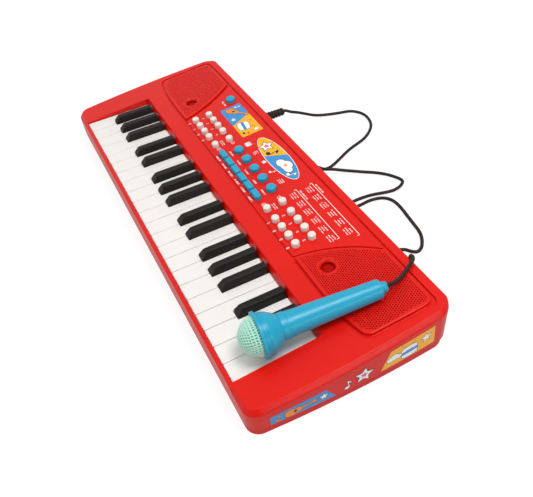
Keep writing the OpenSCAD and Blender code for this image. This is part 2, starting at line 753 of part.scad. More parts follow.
module mic_handle() {
    n = mic_neck_r;
    t = mic_tail_r;
    w = 1.8;
    color("#2fb4dc") on_mic() rotate_extrude()
        polygon([[mic_ball_r + 0.1, -1.2], [mic_rim_r, -1.2], [mic_rim_r, 1.2], [15.2, 1.6], [14.9, 5.6],
            [13.6, 8.6], [12.3, 11.1], [10.9, 13.2], [n + 0.5, 14.8], [n + 0.5, 19.5], [n, 20], [n, 23],
            [n - 0.2, 23.5], [t, mic_length - 0.8], [t - 0.8, mic_length], [4.3, mic_length],
            [4.2, mic_length + 3.8], [3.2, mic_length + 5.2], [0, mic_length + 5.2], [0, mic_length + 3.4],
            [2.8, mic_length + 2], [t - w, mic_length - 3], [n - w, 20], [n - w, 14], [11.6, 9.5],
            [13.3, 4], [13.7, 1.55], [mic_ball_r + 0.1, 1.55]]);
}

module mic_ball() {
    color("#a9e8cf") on_mic() difference() {
        sphere(r = mic_ball_r);
        sphere(r = mic_ball_r - 1.3);
        translate([-20, -20, 1.45]) cube([40, 40, 40]);
    }
}

module mic_capsule() {
    color("silver") on_mic() {
        translate([0, 0, 15.2]) cylinder(r = mic_neck_r - 1.86, h = 3);
        translate([0, 0, 10]) cylinder(r = 5, h = 5.3);
    }
}

// ---- Screws and labels ----
module case_screws() {
    color("silver") for (p = boss_spots) translate([p[0], p[1], base_z + 1.2]) {
        cylinder(r = 2.9, h = 1.75);
        cylinder(r = pilot_r - 0.04, h = 15);
    }
}

// A label on the treble end, given by its outline in y and z
module end_label(points) {
    intersection() {
        translate([0, 0, 1]) linear_extrude(60) difference() {
            plan(-0.2);
            plan(-0.005);
        }
        translate([180, 0, 0]) rotate([90, 0, 90]) linear_extrude(60) polygon(points);
    }
}

module star(r) {
    polygon([for (k = [0:9]) (k % 2 == 0 ? r : r * 0.5) * [sin(k * 36), cos(k * 36)]]);
}

module oval(a, b) {
    polygon([for (k = [0:47]) [a * cos(k * 7.5), b * sin(k * 7.5)]]);
}

module labels() {
    color("#f0a81e") {
        rise(0.005, 0.2) translate([-107.5, 44]) square([54.5, 22]);
        rise(0.005, 0.2) translate([-5.8, 56.4]) oval(36.3, 10);
        end_label([[18.7, 9.5], [26, 27], [63, 29.6], [64, 11]]);
        end_label([[-65, 9], [-65, 17.5], [-24.5, 20.4], [-17, 9]]);
        end_label([for (k = [0:9]) [1, 15.5] + (k % 2 == 0 ? 7.5 : 3.6) * [sin(k * 36), cos(k * 36)]]);
    }
}

upper_case();
lower_case();
battery_door();
battery_door_screw();
power_button();
number_buttons_bass();
number_buttons_treble();
round_pads();
bar_buttons();
contact_rubbers();
circuit_boards();
speaker_frames();
speaker_cones();
battery_cells();
battery_contacts();
mic_jack();
mic_plug();
mic_cable();
mic_handle();
mic_ball();
mic_capsule();
case_screws();
labels();
for (i = [0:white_count - 1]) white_key(i);
for (i = [1:len(black_slots)]) black_key(i);
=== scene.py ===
import json
import math

import bmesh
import bpy
import numpy as np
from mathutils import Matrix, Vector, geometry


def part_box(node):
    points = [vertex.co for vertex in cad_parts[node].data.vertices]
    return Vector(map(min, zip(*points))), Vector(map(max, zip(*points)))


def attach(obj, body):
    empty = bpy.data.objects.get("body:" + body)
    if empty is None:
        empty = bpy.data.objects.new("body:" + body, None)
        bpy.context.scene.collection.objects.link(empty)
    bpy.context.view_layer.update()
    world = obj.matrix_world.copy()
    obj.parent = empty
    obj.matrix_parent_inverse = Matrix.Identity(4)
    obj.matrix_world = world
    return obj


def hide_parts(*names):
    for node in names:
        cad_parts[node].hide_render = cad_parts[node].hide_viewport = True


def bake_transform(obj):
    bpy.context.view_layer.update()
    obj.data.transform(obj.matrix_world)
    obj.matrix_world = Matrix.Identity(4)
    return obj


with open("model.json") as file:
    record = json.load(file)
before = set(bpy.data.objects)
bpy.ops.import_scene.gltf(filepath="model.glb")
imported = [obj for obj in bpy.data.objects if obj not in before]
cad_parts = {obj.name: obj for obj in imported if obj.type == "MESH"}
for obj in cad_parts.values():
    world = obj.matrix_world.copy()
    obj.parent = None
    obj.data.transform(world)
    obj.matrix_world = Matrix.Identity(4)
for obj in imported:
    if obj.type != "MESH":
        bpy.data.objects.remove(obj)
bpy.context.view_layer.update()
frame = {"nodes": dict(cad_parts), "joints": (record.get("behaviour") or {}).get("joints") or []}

# Lengths below are in millimetres in the CAD's frame. They become metres when a mesh is made.
MM = 0.001
TAU = 2 * math.pi


def span(node):
    """Lowest and highest corner of a CAD node."""
    low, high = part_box(node)
    return low / MM, high / MM


# ---- Sizes taken from the frame ----
CASE_LOW, CASE_HIGH = span("upper_case")
FRONT, BACK, SEAM = CASE_LOW.y, CASE_HIGH.y + 0.5, CASE_LOW.z
HALF_LENGTH = CASE_HIGH.x
PRESS = next(j for j in frame["joints"] if j["name"] == "power_button_press")["axis"]
TILT = math.atan2(PRESS[1], -PRESS[2])
COS, SIN = math.cos(TILT), math.sin(TILT)
FRONT_HEIGHT = max(v.co.z for v in frame["nodes"]["upper_case"].data.vertices
                   if v.co.y < (FRONT + 0.01) * MM) / MM
KEY_LOW, KEY_HIGH = span("white_key_01")
KEY_TOP = KEY_HIGH.z
KEY_FRONT = KEY_LOW.y
BLACK_BOXES = [span(f"black_key_{n:02d}") for n in range(1, 16)]
PIVOT_Y, PIVOT_Z = (p / MM for p in next(j for j in frame["joints"]
                                         if j["name"] == "white_key_01_press")["pos_m"][1:])

# ---- Sizes of the looks ----
END_BOW, FRONT_CORNER, BACK_CORNER = 3, 11, 13
BOW_R = (BACK ** 2 + END_BOW ** 2) / (2 * END_BOW)
BOW_X = HALF_LENGTH - BOW_R
WALL = 2.4
# Radius of the top edge along the front rail and along the back. The ends have their own edge, given as
# (inwards, down): a soft crease, a sloping band and a second crease. It starts at RAIL_END.
RAIL_R, BACK_R = 1.6, 1.3
END_EDGE = [(3.5, 0), (3.2, 0.06), (2.98, 0.26), (2.15, 1.25), (1.35, 2.25), (0.6, 3.3), (0.18, 3.95),
            (0, 4.5)]
RAIL_END = 184
KEY_REAR = -10.35
KEY_GAP = 0.4
PLUNGER_Y = -31.0
WELL_LEAN = math.radians(16)
GROOVE_FRONT, GROOVE_BACK, GROOVE_HALF, GROOVE_DEPTH = 9, 72, 1.0, 1.7
# The grille pads, for the bass (-1) and the treble (1) side. ZONES has each pad's curved inner edge: x at the
# front groove, x at the back groove, and how far it bows. Both pads share their end and their front's bend.
ZONES = {-1: (115.5, 147, 4), 1: (108.4, 143.2, 6.2)}
PAD_END, PAD_BEND_X, PAD_BEND_R = 202.6, 152, 190
PAD_RISE = 1.2
HOLE_PITCH, HOLE_R, HOLE_MARGIN = 2.0, 0.55, 2.6
RECESSES = {-1: (-141.4, 26.4), 1: (132.2, 26.4)}
RECESS_R, RECESS_LIP = 6.5, 1.2


# ---- The sloping panel ----
def panel(x, v, h=0.0):
    """The point at x, v along the panel and h off it."""
    along = -FRONT / COS + v
    return Vector((x, FRONT + along * COS - h * SIN, FRONT_HEIGHT + along * SIN + h * COS))


def off_panel(p):
    """The panel coordinates x, v, h of a point."""
    dy, dz = p.y - FRONT, p.z - FRONT_HEIGHT
    return p.x, dy * COS + dz * SIN + FRONT / COS, dz * COS - dy * SIN


def panel_z(y):
    return FRONT_HEIGHT + (y - FRONT) * math.tan(TILT)


# ---- Meshes ----
class Shape:
    """Points in millimetres, and faces over them with a material number each."""

    def __init__(self):
        self.points, self.faces, self.looks = [], [], []

    def ring(self, points):
        start = len(self.points)
        self.points += [Vector(p) for p in points]
        return list(range(start, len(self.points)))

    def face(self, corners, look=0):
        self.faces.append(corners)
        self.looks.append(look)

    def skin(self, a, b, look=0):
        """Quads between two closed rings of the same length."""
        for i in range(len(a)):
            j = (i + 1) % len(a)
            self.face([a[i], b[i], b[j], a[j]], look)

    def loft(self, rings):
        """Skins rings of points one after another, and returns the rings as point numbers."""
        rings = [self.ring(r) for r in rings]
        for a, b in zip(rings, rings[1:]):
            self.skin(a, b)
        return rings

    def solid(self, rings):
        """A closed form through rings, with a flat face at each end."""
        rings = self.loft(rings)
        self.face(rings[0][::-1])
        self.face(rings[-1])

    def prism(self, section, x0, x1):
        """A closed form with a section of (y, z) points, from x0 to x1."""
        self.solid([[(x, y, z) for y, z in section] for x in (x0, x1)])

    def sheet(self, outer, holes=(), look=0, side_on=False):
        """Fills a ring, seen from above or along x, with triangles that leave out the rings in it."""
        ids, loops = [], []
        for loop in [outer, *holes]:
            loops.append(list(range(len(ids), len(ids) + len(loop))))
            ids += loop
        flat = [self.points[i].yz if side_on else self.points[i].xy for i in ids]
        filled = geometry.delaunay_2d_cdt(flat, [], loops, 0, 1e-7, True)
        for triangle, owner in zip(filled[2], filled[5]):
            if list(owner) == [0]:
                self.face([ids[filled[3][k][0]] for k in triangle], look)

    def turned(self, profile, place, steps=32):
        """Turns points (radius, height) round an axis. place(radius, angle, height) gives the point."""
        last = None
        for r, h in profile:
            count = 1 if r == 0 else steps
            ring = self.ring([place(r, TAU * k / steps, h) for k in range(count)])
            if last and len(last) == len(ring):
                self.skin(last, ring)
            elif last:
                tip, rim = (last, ring) if len(last) == 1 else (ring, last)
                for k in range(steps):
                    self.face([tip[0], rim[k], rim[(k + 1) % steps]])
            last = ring


def piece(name, shape, looks, body, replaces=(), sharp=35):
    """Makes a Shape into a shown object that rides on a body."""
    mesh = bpy.data.meshes.new(name)
    mesh.from_pydata([p * MM for p in shape.points], [], shape.faces)
    for look in looks:
        mesh.materials.append(look)
    mesh.polygons.foreach_set("material_index", shape.looks)
    bm = bmesh.new()
    bm.from_mesh(mesh)
    bmesh.ops.recalc_face_normals(bm, faces=bm.faces)
    for edge in bm.edges:
        edge.smooth = len(edge.link_faces) == 2 and edge.calc_face_angle(0) < math.radians(sharp)
    for f in bm.faces:
        f.smooth = True
    bm.to_mesh(mesh)
    bm.free()
    obj = bpy.data.objects.new(name, mesh)
    bpy.context.scene.collection.objects.link(obj)
    normals = obj.modifiers.new("normals", "WEIGHTED_NORMAL")
    normals.keep_sharp = True
    if body:
        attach(obj, body)
    if replaces:
        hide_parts(*replaces)
    return obj


# ---- Outlines, as lists of (x, y) that run anticlockwise ----
def arc(cx, cy, r, start, end, steps):
    """Points of an arc, with its angles in degrees."""
    turns = [math.radians(start + (end - start) * k / steps) for k in range(steps + 1)]
    return [(cx + r * math.cos(t), cy + r * math.sin(t)) for t in turns]


def grown(points, out):
    """An outline moved outwards by a distance, with mitred corners."""
    moved = []
    for k, (x, y) in enumerate(points):
        (px, py), (nx, ny) = points[k - 1], points[(k + 1) % len(points)]
        a = Vector((y - py, px - x)).normalized()
        b = Vector((ny - y, x - nx)).normalized()
        n = (a + b) / max(1 + a.dot(b), 0.3)
        moved.append((x + n.x * out, y + n.y * out))
    return moved


def trimmed(line, from_start, from_end):
    """A polyline cut short at both ends."""
    reach = [0.0]
    for a, b in zip(line, line[1:]):
        reach.append(reach[-1] + math.dist(a, b))

    def at(s):
        k = max(i for i in range(len(line) - 1) if reach[i] <= s or i == 0)
        t = (s - reach[k]) / (reach[k + 1] - reach[k])
        return tuple(a + (b - a) * t for a, b in zip(line[k], line[k + 1]))

    start, end = from_start, reach[-1] - from_end
    return [at(start)] + [p for p, s in zip(line, reach) if start < s < end] + [at(end)]


def rounded(lines, cuts, steps=5):
    """Joins polylines that meet end to end into an outline. cuts[k] rounds the corner where line k starts."""
    count = len(lines)
    short = [trimmed(lines[k], cuts[k], cuts[(k + 1) % count]) for k in range(count)]
    outline = []
    for k, line in enumerate(short):
        outline += line
        a, corner, b = line[-1], lines[k][-1], short[(k + 1) % count][0]
        for j in range(1, steps):
            t = j / steps
            outline.append(tuple(a[i] * (1 - t) ** 2 + corner[i] * 2 * t * (1 - t) + b[i] * t * t
                                 for i in range(2)))
    return outline


def box(x0, x1, y0, y1):
    return [(x0, y0), (x1, y0), (x1, y1), (x0, y1)]


def sides(corners):
    return [[a, b] for a, b in zip(corners, corners[1:] + corners[:1])]


def box_outline(x0, x1, y0, y1, cut, steps=4):
    """A rectangle with rounded corners."""
    return rounded(sides(box(x0, x1, y0, y1)), [cut] * 4, steps)


def circle(cx, cy, r, steps):
    return arc(cx, cy, r, 0, 360, steps)[:-1]


def mirrored(line):
    return [(-x, y) for x, y in reversed(line)]


def edge_steps(r, top=0.0, steps=5, side=1):
    """Profile steps (outwards, height) that round a top edge by r. side -1 is for the edge of an opening."""
    turns = [math.pi / 2 * k / steps for k in range(steps + 1)]
    return [(side * -r * (1 - math.sin(t)), top - r * (1 - math.cos(t))) for t in turns]


def swept(shape, outline, profile):
    """Skins rings round an outline on the panel, one for each (outwards, height) of the profile."""
    return shape.loft([[panel(x, v, h) for x, v in grown(outline, out)] for out, h in profile])


def swept_corners(shape, corners, cuts, profile, place=panel, steps=3):
    """Like swept, but each ring's corners are rounded anew, so that tight ones never fold over."""
    rings = []
    for out, h in profile:
        outline = rounded(sides(grown(corners, out)), [max(c + out, 0.08) for c in cuts], steps)
        rings.append([place(x, v, h) for x, v in outline])
    return shape.loft(rings)


# ---- Button places, read off the flat tops of the CAD's buttons ----
def flat_tops(node):
    """The box (x0, x1, v0, v1) on the panel of each flat top that stands highest in a CAD node."""
    mesh = frame["nodes"][node].data
    spots = [off_panel(v.co / MM) for v in mesh.vertices]
    top = max(s[2] for s in spots)
    groups = []
    for polygon in mesh.polygons:
        corners = [spots[i] for i in polygon.vertices]
        if min(c[2] for c in corners) > top - 0.05:
            keys = {(round(c[0], 2), round(c[1], 2)) for c in corners}
            for group in [g for g in groups if g & keys]:
                groups.remove(group)
                keys |= group
            groups.append(keys)
    boxes = [(min(k[0] for k in g), max(k[0] for k in g), min(k[1] for k in g), max(k[1] for k in g))
             for g in groups]
    return sorted(boxes)


def centres(node):
    return [((x0 + x1) / 2, (v0 + v1) / 2) for x0, x1, v0, v1 in flat_tops(node)]


NUMBER_R, NUMBER_H, PAD_R, POWER_R, CAP_H, BUTTON_GAP = 3.3, 4.2, 4.5, 4.6, 4.1, 0.2
BAR_GAP, BAR_CUT, BAR_EDGE = 0.3, 1.4, 1.1
NUMBERS = {"bass": centres("number_buttons_bass"), "treble": centres("number_buttons_treble")}
ROUND_PADS = centres("round_pads")
POWER = centres("power_button")
BARS = flat_tops("bar_buttons")


def bar_outline(grow=0.0):
    """The stadium that the six bars share."""
    x0, x1, v0, v1 = BARS[0][0] - grow, BARS[-1][1] + grow, BARS[0][2] - grow, BARS[0][3] + grow
    r = (v1 - v0) / 2
    return arc(x1 - r, v0 + r, r, -90, 90, 12) + arc(x0 + r, v0 + r, r, 90, 270, 12)


# ---- Upper case ----
def case_outline():
    """The case seen from above, with bowed ends."""
    def corner(r, y, steps, start, end):
        """Where a corner's arc meets the bow, and the arc's points. The end given as None is that meeting."""
        x = BOW_X + math.sqrt((BOW_R - r) ** 2 - y ** 2)
        meet = math.degrees(math.atan2(y, x - BOW_X))
        return meet, arc(x, y, r, meet if start is None else start, meet if end is None else end, steps)

    low, front = corner(FRONT_CORNER, FRONT + FRONT_CORNER, 10, -90, None)
    high, back = corner(BACK_CORNER, BACK - BACK_CORNER, 14, None, 90)
    bow = arc(BOW_X, 0, BOW_R, low, high, 36)[1:-1]
    right = [(RAIL_END + step, FRONT) for step in range(-1, 6)] + front + bow + back
    return right + mirrored(right)


def case_rings(shape):
    """The case's top edge, its outside, its foot and its inside. Returns the first and the last ring."""
    outline = case_outline()
    ways = [Vector(g) - Vector(p) for p, g in zip(outline, grown(outline, 1))]

    def edge(k, x, y, way):
        """Inwards and down at step k of the edge: round along the long sides, a band at the ends."""
        turn = math.pi / 2 * k / (len(END_EDGE) - 1)
        r = RAIL_R if y < 0 else BACK_R
        plain = (r * (1 - math.sin(turn)), r * (1 - math.cos(turn)))
        t = (abs(x) - RAIL_END) / 4 if y < 0 else (abs(way.x) - 0.1) / 0.75
        t = min(max(t, 0), 1)
        t = t * t * (3 - 2 * t)
        return [a + (b - a) * t for a, b in zip(plain, END_EDGE[k])]

    rings = []
    for k in range(len(END_EDGE)):
        rings.append([])
        for (x, y), way in zip(outline, ways):
            inset, down = edge(k, x, y, way)
            px, py = x - way.x * inset, y - way.y * inset
            rings[-1].append((px, py, panel_z(py) - down))
    for inset, z in [(0.3, SEAM + 0.4), (0.6, SEAM), (WALL, SEAM), (WALL, None)]:
        rings.append([(x - way.x * inset, y - way.y * inset, panel_z(y) - WALL / COS if z is None else z)
                      for (x, y), way in zip(outline, ways)])
    rings = shape.loft(rings)
    return rings[0], rings[-1]


def well_rings(shape):
    """The opening for the keys: a rounded edge, walls, and a back face that leans away from the keys."""
    side = -KEY_LOW.x + 0.6
    front = KEY_FRONT - KEY_GAP
    roof = panel_z(KEY_REAR)
    deep = 30
    wall = (0.5, 1.8, 1.8)

    def ring(grow, drop, thick=(0, 0, 0)):
        """The opening grown by a distance and by a wall (front, sides, back), below the panel by drop."""
        lean = max(roof - drop - KEY_TOP + 1, 0.4) * math.tan(WELL_LEAN)
        rear = KEY_REAR + KEY_GAP + lean + grow + thick[2]
        edge = side + grow + thick[1]
        points = []
        for x, y in box_outline(-edge, edge, front - grow - thick[0], rear, 1.2):
            lowest = KEY_TOP + 0.4 if y > rear - 0.8 else KEY_TOP - 12
            points.append((x, y, max(panel_z(y) - drop, lowest)))
        return points

    rings = [ring(-out, -h) for out, h in edge_steps(0.9)]
    rings = shape.loft(rings + [ring(0, deep), ring(0, deep, wall), ring(0, WALL / COS, wall)])
    return rings[0], rings[-1]


def zone_lines(inset, low_x, high_x, sag):
    """The four stretches round a grille pad as if on the treble side, moved in by inset."""
    a, b = Vector((low_x, GROOVE_FRONT)), Vector((high_x, GROOVE_BACK))
    chord = (b - a).length
    r = (chord ** 2 / 4 + sag ** 2) / (2 * sag)
    centre = (a + b) / 2 + (r - sag) * Vector((b.y - a.y, a.x - b.x)) / chord
    front, back, end = GROOVE_FRONT + inset, GROOVE_BACK - inset, PAD_END - inset * 2
    r -= inset
    ax = centre.x - math.sqrt(r * r - (front - centre.y) ** 2)
    bx = centre.x - math.sqrt(r * r - (back - centre.y) ** 2)
    turn = math.degrees(math.asin((end - PAD_BEND_X) / (PAD_BEND_R - inset)))
    bend = arc(PAD_BEND_X, GROOVE_FRONT + PAD_BEND_R, PAD_BEND_R - inset, -90, turn - 90, 12)
    start = math.degrees(math.atan2(back - centre.y, bx - centre.x))
    stop = math.degrees(math.atan2(front - centre.y, ax - centre.x)) % 360
    return {"front": [(ax, front)] + bend, "end": [bend[-1], (end, back)], "back": [(end, back), (bx, back)],
            "inner": arc(centre.x, centre.y, r, start, stop, 20)}


def pad_outline(side, inset):
    lines = zone_lines(inset, *ZONES[side])
    outline = rounded([lines["front"], lines["end"], lines["back"], lines["inner"]], [2.2, 6.5, 7.5, 2.5])
    return outline if side > 0 else mirrored(outline)


def island_outline():
    """The middle of the panel, which the grooves run round."""
    inner = {s: zone_lines(-GROOVE_HALF, *ZONES[s])["inner"] for s in (-1, 1)}
    front, back = GROOVE_FRONT + GROOVE_HALF, GROOVE_BACK - GROOVE_HALF

    def kept(line):
        """The stretch between the two straight grooves, with its ends on their edges."""
        inside = [p for p in line if front < p[1] < back]
        top = next((a, b) for a, b in zip(line, line[1:]) if a[1] >= back > b[1])
        low = next((a, b) for a, b in zip(line, line[1:]) if a[1] > front >= b[1])
        ends = []
        for (a, b), y in ((top, back), (low, front)):
            t = (a[1] - y) / (a[1] - b[1])
            ends.append((a[0] + (b[0] - a[0]) * t, y))
        return [ends[0]] + inside + [ends[1]]

    treble = kept(inner[1])[::-1]
    bass = [(-x, y) for x, y in kept(inner[-1])]
    return rounded([[bass[-1], treble[0]], treble, [treble[-1], bass[0]], bass], [1.5, 1.5, 4, 4])


def groove_outline():
    """The outside edge of the grooves and the two pads together."""
    treble = zone_lines(-GROOVE_HALF, *ZONES[1])
    front = treble["front"][1:]
    end, back = treble["end"], treble["back"][0]
    lines = [mirrored(front) + front, end, [back, (-back[0], back[1])], mirrored(end)]
    return rounded(lines, [8, 8, 8.5, 8.5])


def inside(p, outline):
    hit = False
    for (ax, ay), (bx, by) in zip(outline, outline[1:] + outline[:1]):
        if (ay > p[1]) != (by > p[1]) and p[0] < ax + (bx - ax) * (p[1] - ay) / (by - ay):
            hit = not hit
    return hit


def grille_holes(shape, side):
    """Round holes in staggered rows over a pad, clear of its edge and of the round recess."""
    field = grown(pad_outline(side, GROOVE_HALF), -HOLE_MARGIN)
    row_step = HOLE_PITCH * math.sqrt(3) / 2
    columns = range(int(ZONES[1][0] / HOLE_PITCH) - 4, int(PAD_END / HOLE_PITCH) + 3)
    profile = [(0.14, PAD_RISE), (0, PAD_RISE - 0.16), (0, -WALL)]
    tops, ends = [], []
    for row in range(int(GROOVE_FRONT / row_step), int(GROOVE_BACK / row_step) + 1):
        for column in columns:
            spot = side * (column + row % 2 / 2) * HOLE_PITCH, row * row_step
            if inside(spot, field) and math.dist(spot, RECESSES[side]) >= RECESS_R + 1.9:
                rings = swept(shape, circle(*spot, HOLE_R, 8), profile)
                tops.append(rings[0])
                ends.append(rings[-1])
    return tops, ends


def recess(shape, side):
    """A dish with a lip round it and a star-shaped boss on its floor; its inside is a darker red, painted
    shade. Returns its rings above and below.
    """
    lip, floor, throat, under, steps = PAD_RISE, -2.6, 5.3, 0.9, 40
    profile = [(RECESS_R + RECESS_LIP, lip), (RECESS_R + 0.9, lip + 0.16), (RECESS_R + 0.45, lip + 0.18),
               (RECESS_R + 0.1, lip), (RECESS_R - 0.2, lip - 0.35), (throat + 0.2, -0.1), (throat, -0.4),
               (throat - 0.1, floor + 0.2), (throat - 0.3, floor), (3.6, floor), (3.5, floor + 0.1),
               (3.4, floor + 0.7), (3.2, floor + 0.8), (1.2, floor + 0.8), (1.0, floor + 0.6),
               (0, floor + 0.6)]
    x, v = RECESSES[side]

    def place(r, t, h):
        if 1.3 < r < 3.7:
            r *= 1 + 0.22 * math.cos(5 * t)
        return panel(x + r * math.cos(t), v + r * math.sin(t), h)

    dish, first = len(shape.points), len(shape.faces)
    shape.turned(profile, place, steps)
    # Faces more than 0.3 below the panel take the second material, a darker red that paints the shade inside
    # the dish.
    for k in range(first, len(shape.faces)):
        if min(off_panel(shape.points[i])[2] for i in shape.faces[k]) < -0.3:
            shape.looks[k] = 1
    cup = len(shape.points)
    shape.turned([(throat + 1.3, -WALL), (throat + 1.3, floor - under), (0, floor - under)], place, steps)
    return list(range(dish, dish + steps)), list(range(cup, cup + steps))


def button_hole(shape, outline):
    rings = swept(shape, outline, edge_steps(0.35, steps=3, side=-1) + [(0, -WALL)])
    return rings[0], rings[-1]


def upper_case(looks):
    shape = Shape()
    case_top, roof = case_rings(shape)
    well_top, well_end = well_rings(shape)
    down = [(0, 0.3 - GROOVE_DEPTH), (0.12, 0.1 - GROOVE_DEPTH), (0.35, -GROOVE_DEPTH)]
    outer = swept(shape, groove_outline(), edge_steps(0.4, side=-1) + [(-o, h) for o, h in down])
    island = swept(shape, island_outline(), edge_steps(0.4) + down)
    shape.sheet(case_top, [outer[0], well_top])

    openings = [circle(x, v, NUMBER_R + BUTTON_GAP, 28) for row in NUMBERS.values() for x, v in row]
    openings += [circle(x, v, PAD_R + BUTTON_GAP, 36) for x, v in ROUND_PADS]
    openings += [circle(x, v, POWER_R + BUTTON_GAP, 36) for x, v in POWER]
    openings.append(bar_outline(BUTTON_GAP))
    holes = [button_hole(shape, o) for o in openings]
    shape.sheet(island[0], [h[0] for h in holes])

    through = [h[1] for h in holes]
    floor_holes = [island[-1]]
    for side in (-1, 1):
        pad = swept(shape, pad_outline(side, GROOVE_HALF), edge_steps(0.9, PAD_RISE) + down)
        tops, ends = grille_holes(shape, side)
        dish, cup = recess(shape, side)
        shape.sheet(pad[0], [dish] + tops)
        floor_holes.append(pad[-1])
        through += ends + [cup]
    shape.sheet(outer[-1], floor_holes)
    shape.sheet(roof, [well_end] + through)
    return piece("upper_case_shell", shape, looks, "case", ["upper_case"])


# ---- Keys ----
def white_key(number, look):
    """A white key's hollow top, cut back beside its black neighbours, with its plunger, tail and apron."""
    node = f"white_key_{number:02d}"
    low, high = span(node)
    shoulder = BLACK_BOXES[0][0].y - KEY_GAP
    skirt, roof, wall = 8, 2, 1.3
    left, right = low.x, high.x
    for b_low, b_high in BLACK_BOXES:
        if b_low.x < high.x < b_high.x + 1:
            right = b_low.x - KEY_GAP
        if b_low.x - 1 < low.x < b_high.x:
            left = b_high.x + KEY_GAP
    corners = [(low.x, KEY_FRONT), (high.x, KEY_FRONT)]
    if right < high.x:
        corners += [(high.x, shoulder), (right, shoulder)]
    corners += [(right, KEY_REAR), (left, KEY_REAR)]
    if left > low.x:
        corners += [(left, shoulder), (low.x, shoulder)]
    shape = Shape()
    profile = edge_steps(0.55, KEY_TOP, 4)
    profile += [(0, KEY_TOP - skirt), (-wall, KEY_TOP - skirt), (-wall, KEY_TOP - roof)]
    rings = swept_corners(shape, corners, [0.7] * len(corners), profile, lambda *p: p)
    shape.sheet(rings[0])
    shape.sheet(rings[-1])
    key_tail(shape, left, right)
    plunger(shape, (left + right) / 2, BLACK_BOXES[0][0].z, KEY_TOP - roof - 0.1)
    apron = box(low.x + 0.3, high.x - 0.3, KEY_FRONT + 0.15, KEY_FRONT + 1.2)
    shape.solid([[(x, y, z) for x, y in apron] for z in (low.z, KEY_TOP - skirt + 0.5)])
    return piece(node + "_top", shape, [look], node, [node])


def key_tail(shape, x0, x1):
    """The flat tail under the panel and the hook that turns on the bar, with a neck between them."""
    top, low = KEY_TOP - 1.5, KEY_TOP - 7
    bore, rim, opening = 1.66, 3.2, 50
    middle, half = (x0 + x1) / 2, 2.6
    shape.prism(box(KEY_REAR - 1.2, PIVOT_Y - 4, low, top), x0, x1)
    hook = arc(PIVOT_Y, PIVOT_Z, bore, -90 + opening, 270 - opening, 20)
    hook += arc(PIVOT_Y, PIVOT_Z, rim, 270 - opening, -90 + opening, 20)
    for section in (hook, box(PIVOT_Y - 5, PIVOT_Y - 2, PIVOT_Z - 1, top)):
        shape.prism(section, middle - half, middle + half)


def plunger(shape, x, low, high):
    """The round peg that pushes a key's rubber dome."""
    shape.turned([(0, low), (1.5, low), (1.8, low + 0.3), (1.8, high), (0, high)],
                 lambda r, t, h: (x + r * math.cos(t), PLUNGER_Y + r * math.sin(t), h), 20)


def black_key(number, look):
    """A black key: sides that lean in, a narrow top with a ridge along each side, and a sloping front."""
    node = f"black_key_{number:02d}"
    low, high = BLACK_BOXES[number - 1]
    x, half = (low.x + high.x) / 2, (high.x - low.x) / 2
    top = high.z - KEY_TOP
    slope = math.tan(math.radians(39))

    def section(y, rise, draw=0.0):
        """The outline across the key at y, where it stands rise above the white keys."""
        lean, foot, ridge = 0.29, 0.5, 0.6
        right = [(half - 0.15 - draw, -7), (half - draw, -0.5), (half - draw, min(foot, rise * 0.4))]
        shoulder = max(rise - ridge, foot + 0.1)
        side = half - draw - lean * (shoulder - foot)
        right += [(side, shoulder), (side - 0.12, shoulder + ridge * 0.45),
                  (side - 0.4, shoulder + ridge * 0.85), (side - 0.75, rise)]
        left = [(-a, b) for a, b in reversed(right)]
        return [(x + a, y, KEY_TOP + b) for a, b in right + left]

    nose = 1.1
    stations = [(0, nose - 0.35, 0.35), (0.12, nose, 0.12), (0.4, nose + 0.5, 0)]
    for k in range(1, 8):
        rise = nose + 0.5 + (top - 0.9 - nose) * k / 7
        stations.append((0.4 + (rise - nose - 0.5) * slope, rise, 0))
    bend = stations[-1][0]
    stations += [(bend + 0.35, top - 0.25, 0), (bend + 0.9, top - 0.12, 0), (bend + 2.5, top, 0)]
    length = KEY_REAR - low.y
    stations += [(length * 0.6, top, 0), (length - 0.5, top - 0.05, 0)]
    shape = Shape()
    shape.solid([section(low.y + s, rise, draw) for s, rise, draw in stations])
    key_tail(shape, x - 3.2, x + 3.2)
    plunger(shape, x, low.z, KEY_TOP)
    return piece(node + "_top", shape, [look], node, [node], 28)


# ---- Buttons ----
WEB_TOP = -WALL - 0.05
WEB_LOW = WEB_TOP - 1.1


def button(shape, x, v, r, h, flat=False):
    """A domed cap with a flange and a peg under the panel."""
    if flat:
        cap = [(0, h), (r * 0.5, h - 0.03), (r - 0.75, h - 0.12), (r - 0.35, h - 0.32), (r - 0.1, h - 0.68),
               (r, h - 1.1)]
    else:
        cap = [(0, h), (r * 0.35, h - 0.04), (r * 0.6, h - 0.16), (r * 0.78, h - 0.38), (r * 0.9, h - 0.72),
               (r * 0.97, h - 1.15), (r, h - 1.7)]
    under = [(r, WEB_TOP), (r + 0.9, WEB_TOP), (r + 0.9, WEB_LOW), (1.8, WEB_LOW), (1.8, WEB_LOW - 1.1),
             (0, WEB_LOW - 1.1)]
    shape.turned(cap + under, lambda q, t, z: panel(x + q * math.cos(t), v + q * math.sin(t), z), 36)


def web(shape, x0, x1, v0, v1):
    corners = box_outline(x0, x1, v0, v1, 0.8, 3)
    shape.solid([[panel(x, v, h) for x, v in corners] for h in (WEB_LOW, WEB_TOP)])


def number_buttons(name, look):
    node = "number_buttons_" + name
    shape = Shape()
    for x, v in NUMBERS[name]:
        button(shape, x, v, NUMBER_R, NUMBER_H, True)
    xs, vs = sorted({round(x, 2) for x, _ in NUMBERS[name]}), sorted({round(v, 2) for _, v in NUMBERS[name]})
    for v in vs:
        web(shape, xs[0] - 3, xs[-1] + 3, v - 1.6, v + 1.6)
    for x in (xs[1], xs[3]):
        web(shape, x - 1.5, x + 1.5, vs[0], vs[-1])
    return piece(node + "_caps", shape, [look], node, [node])


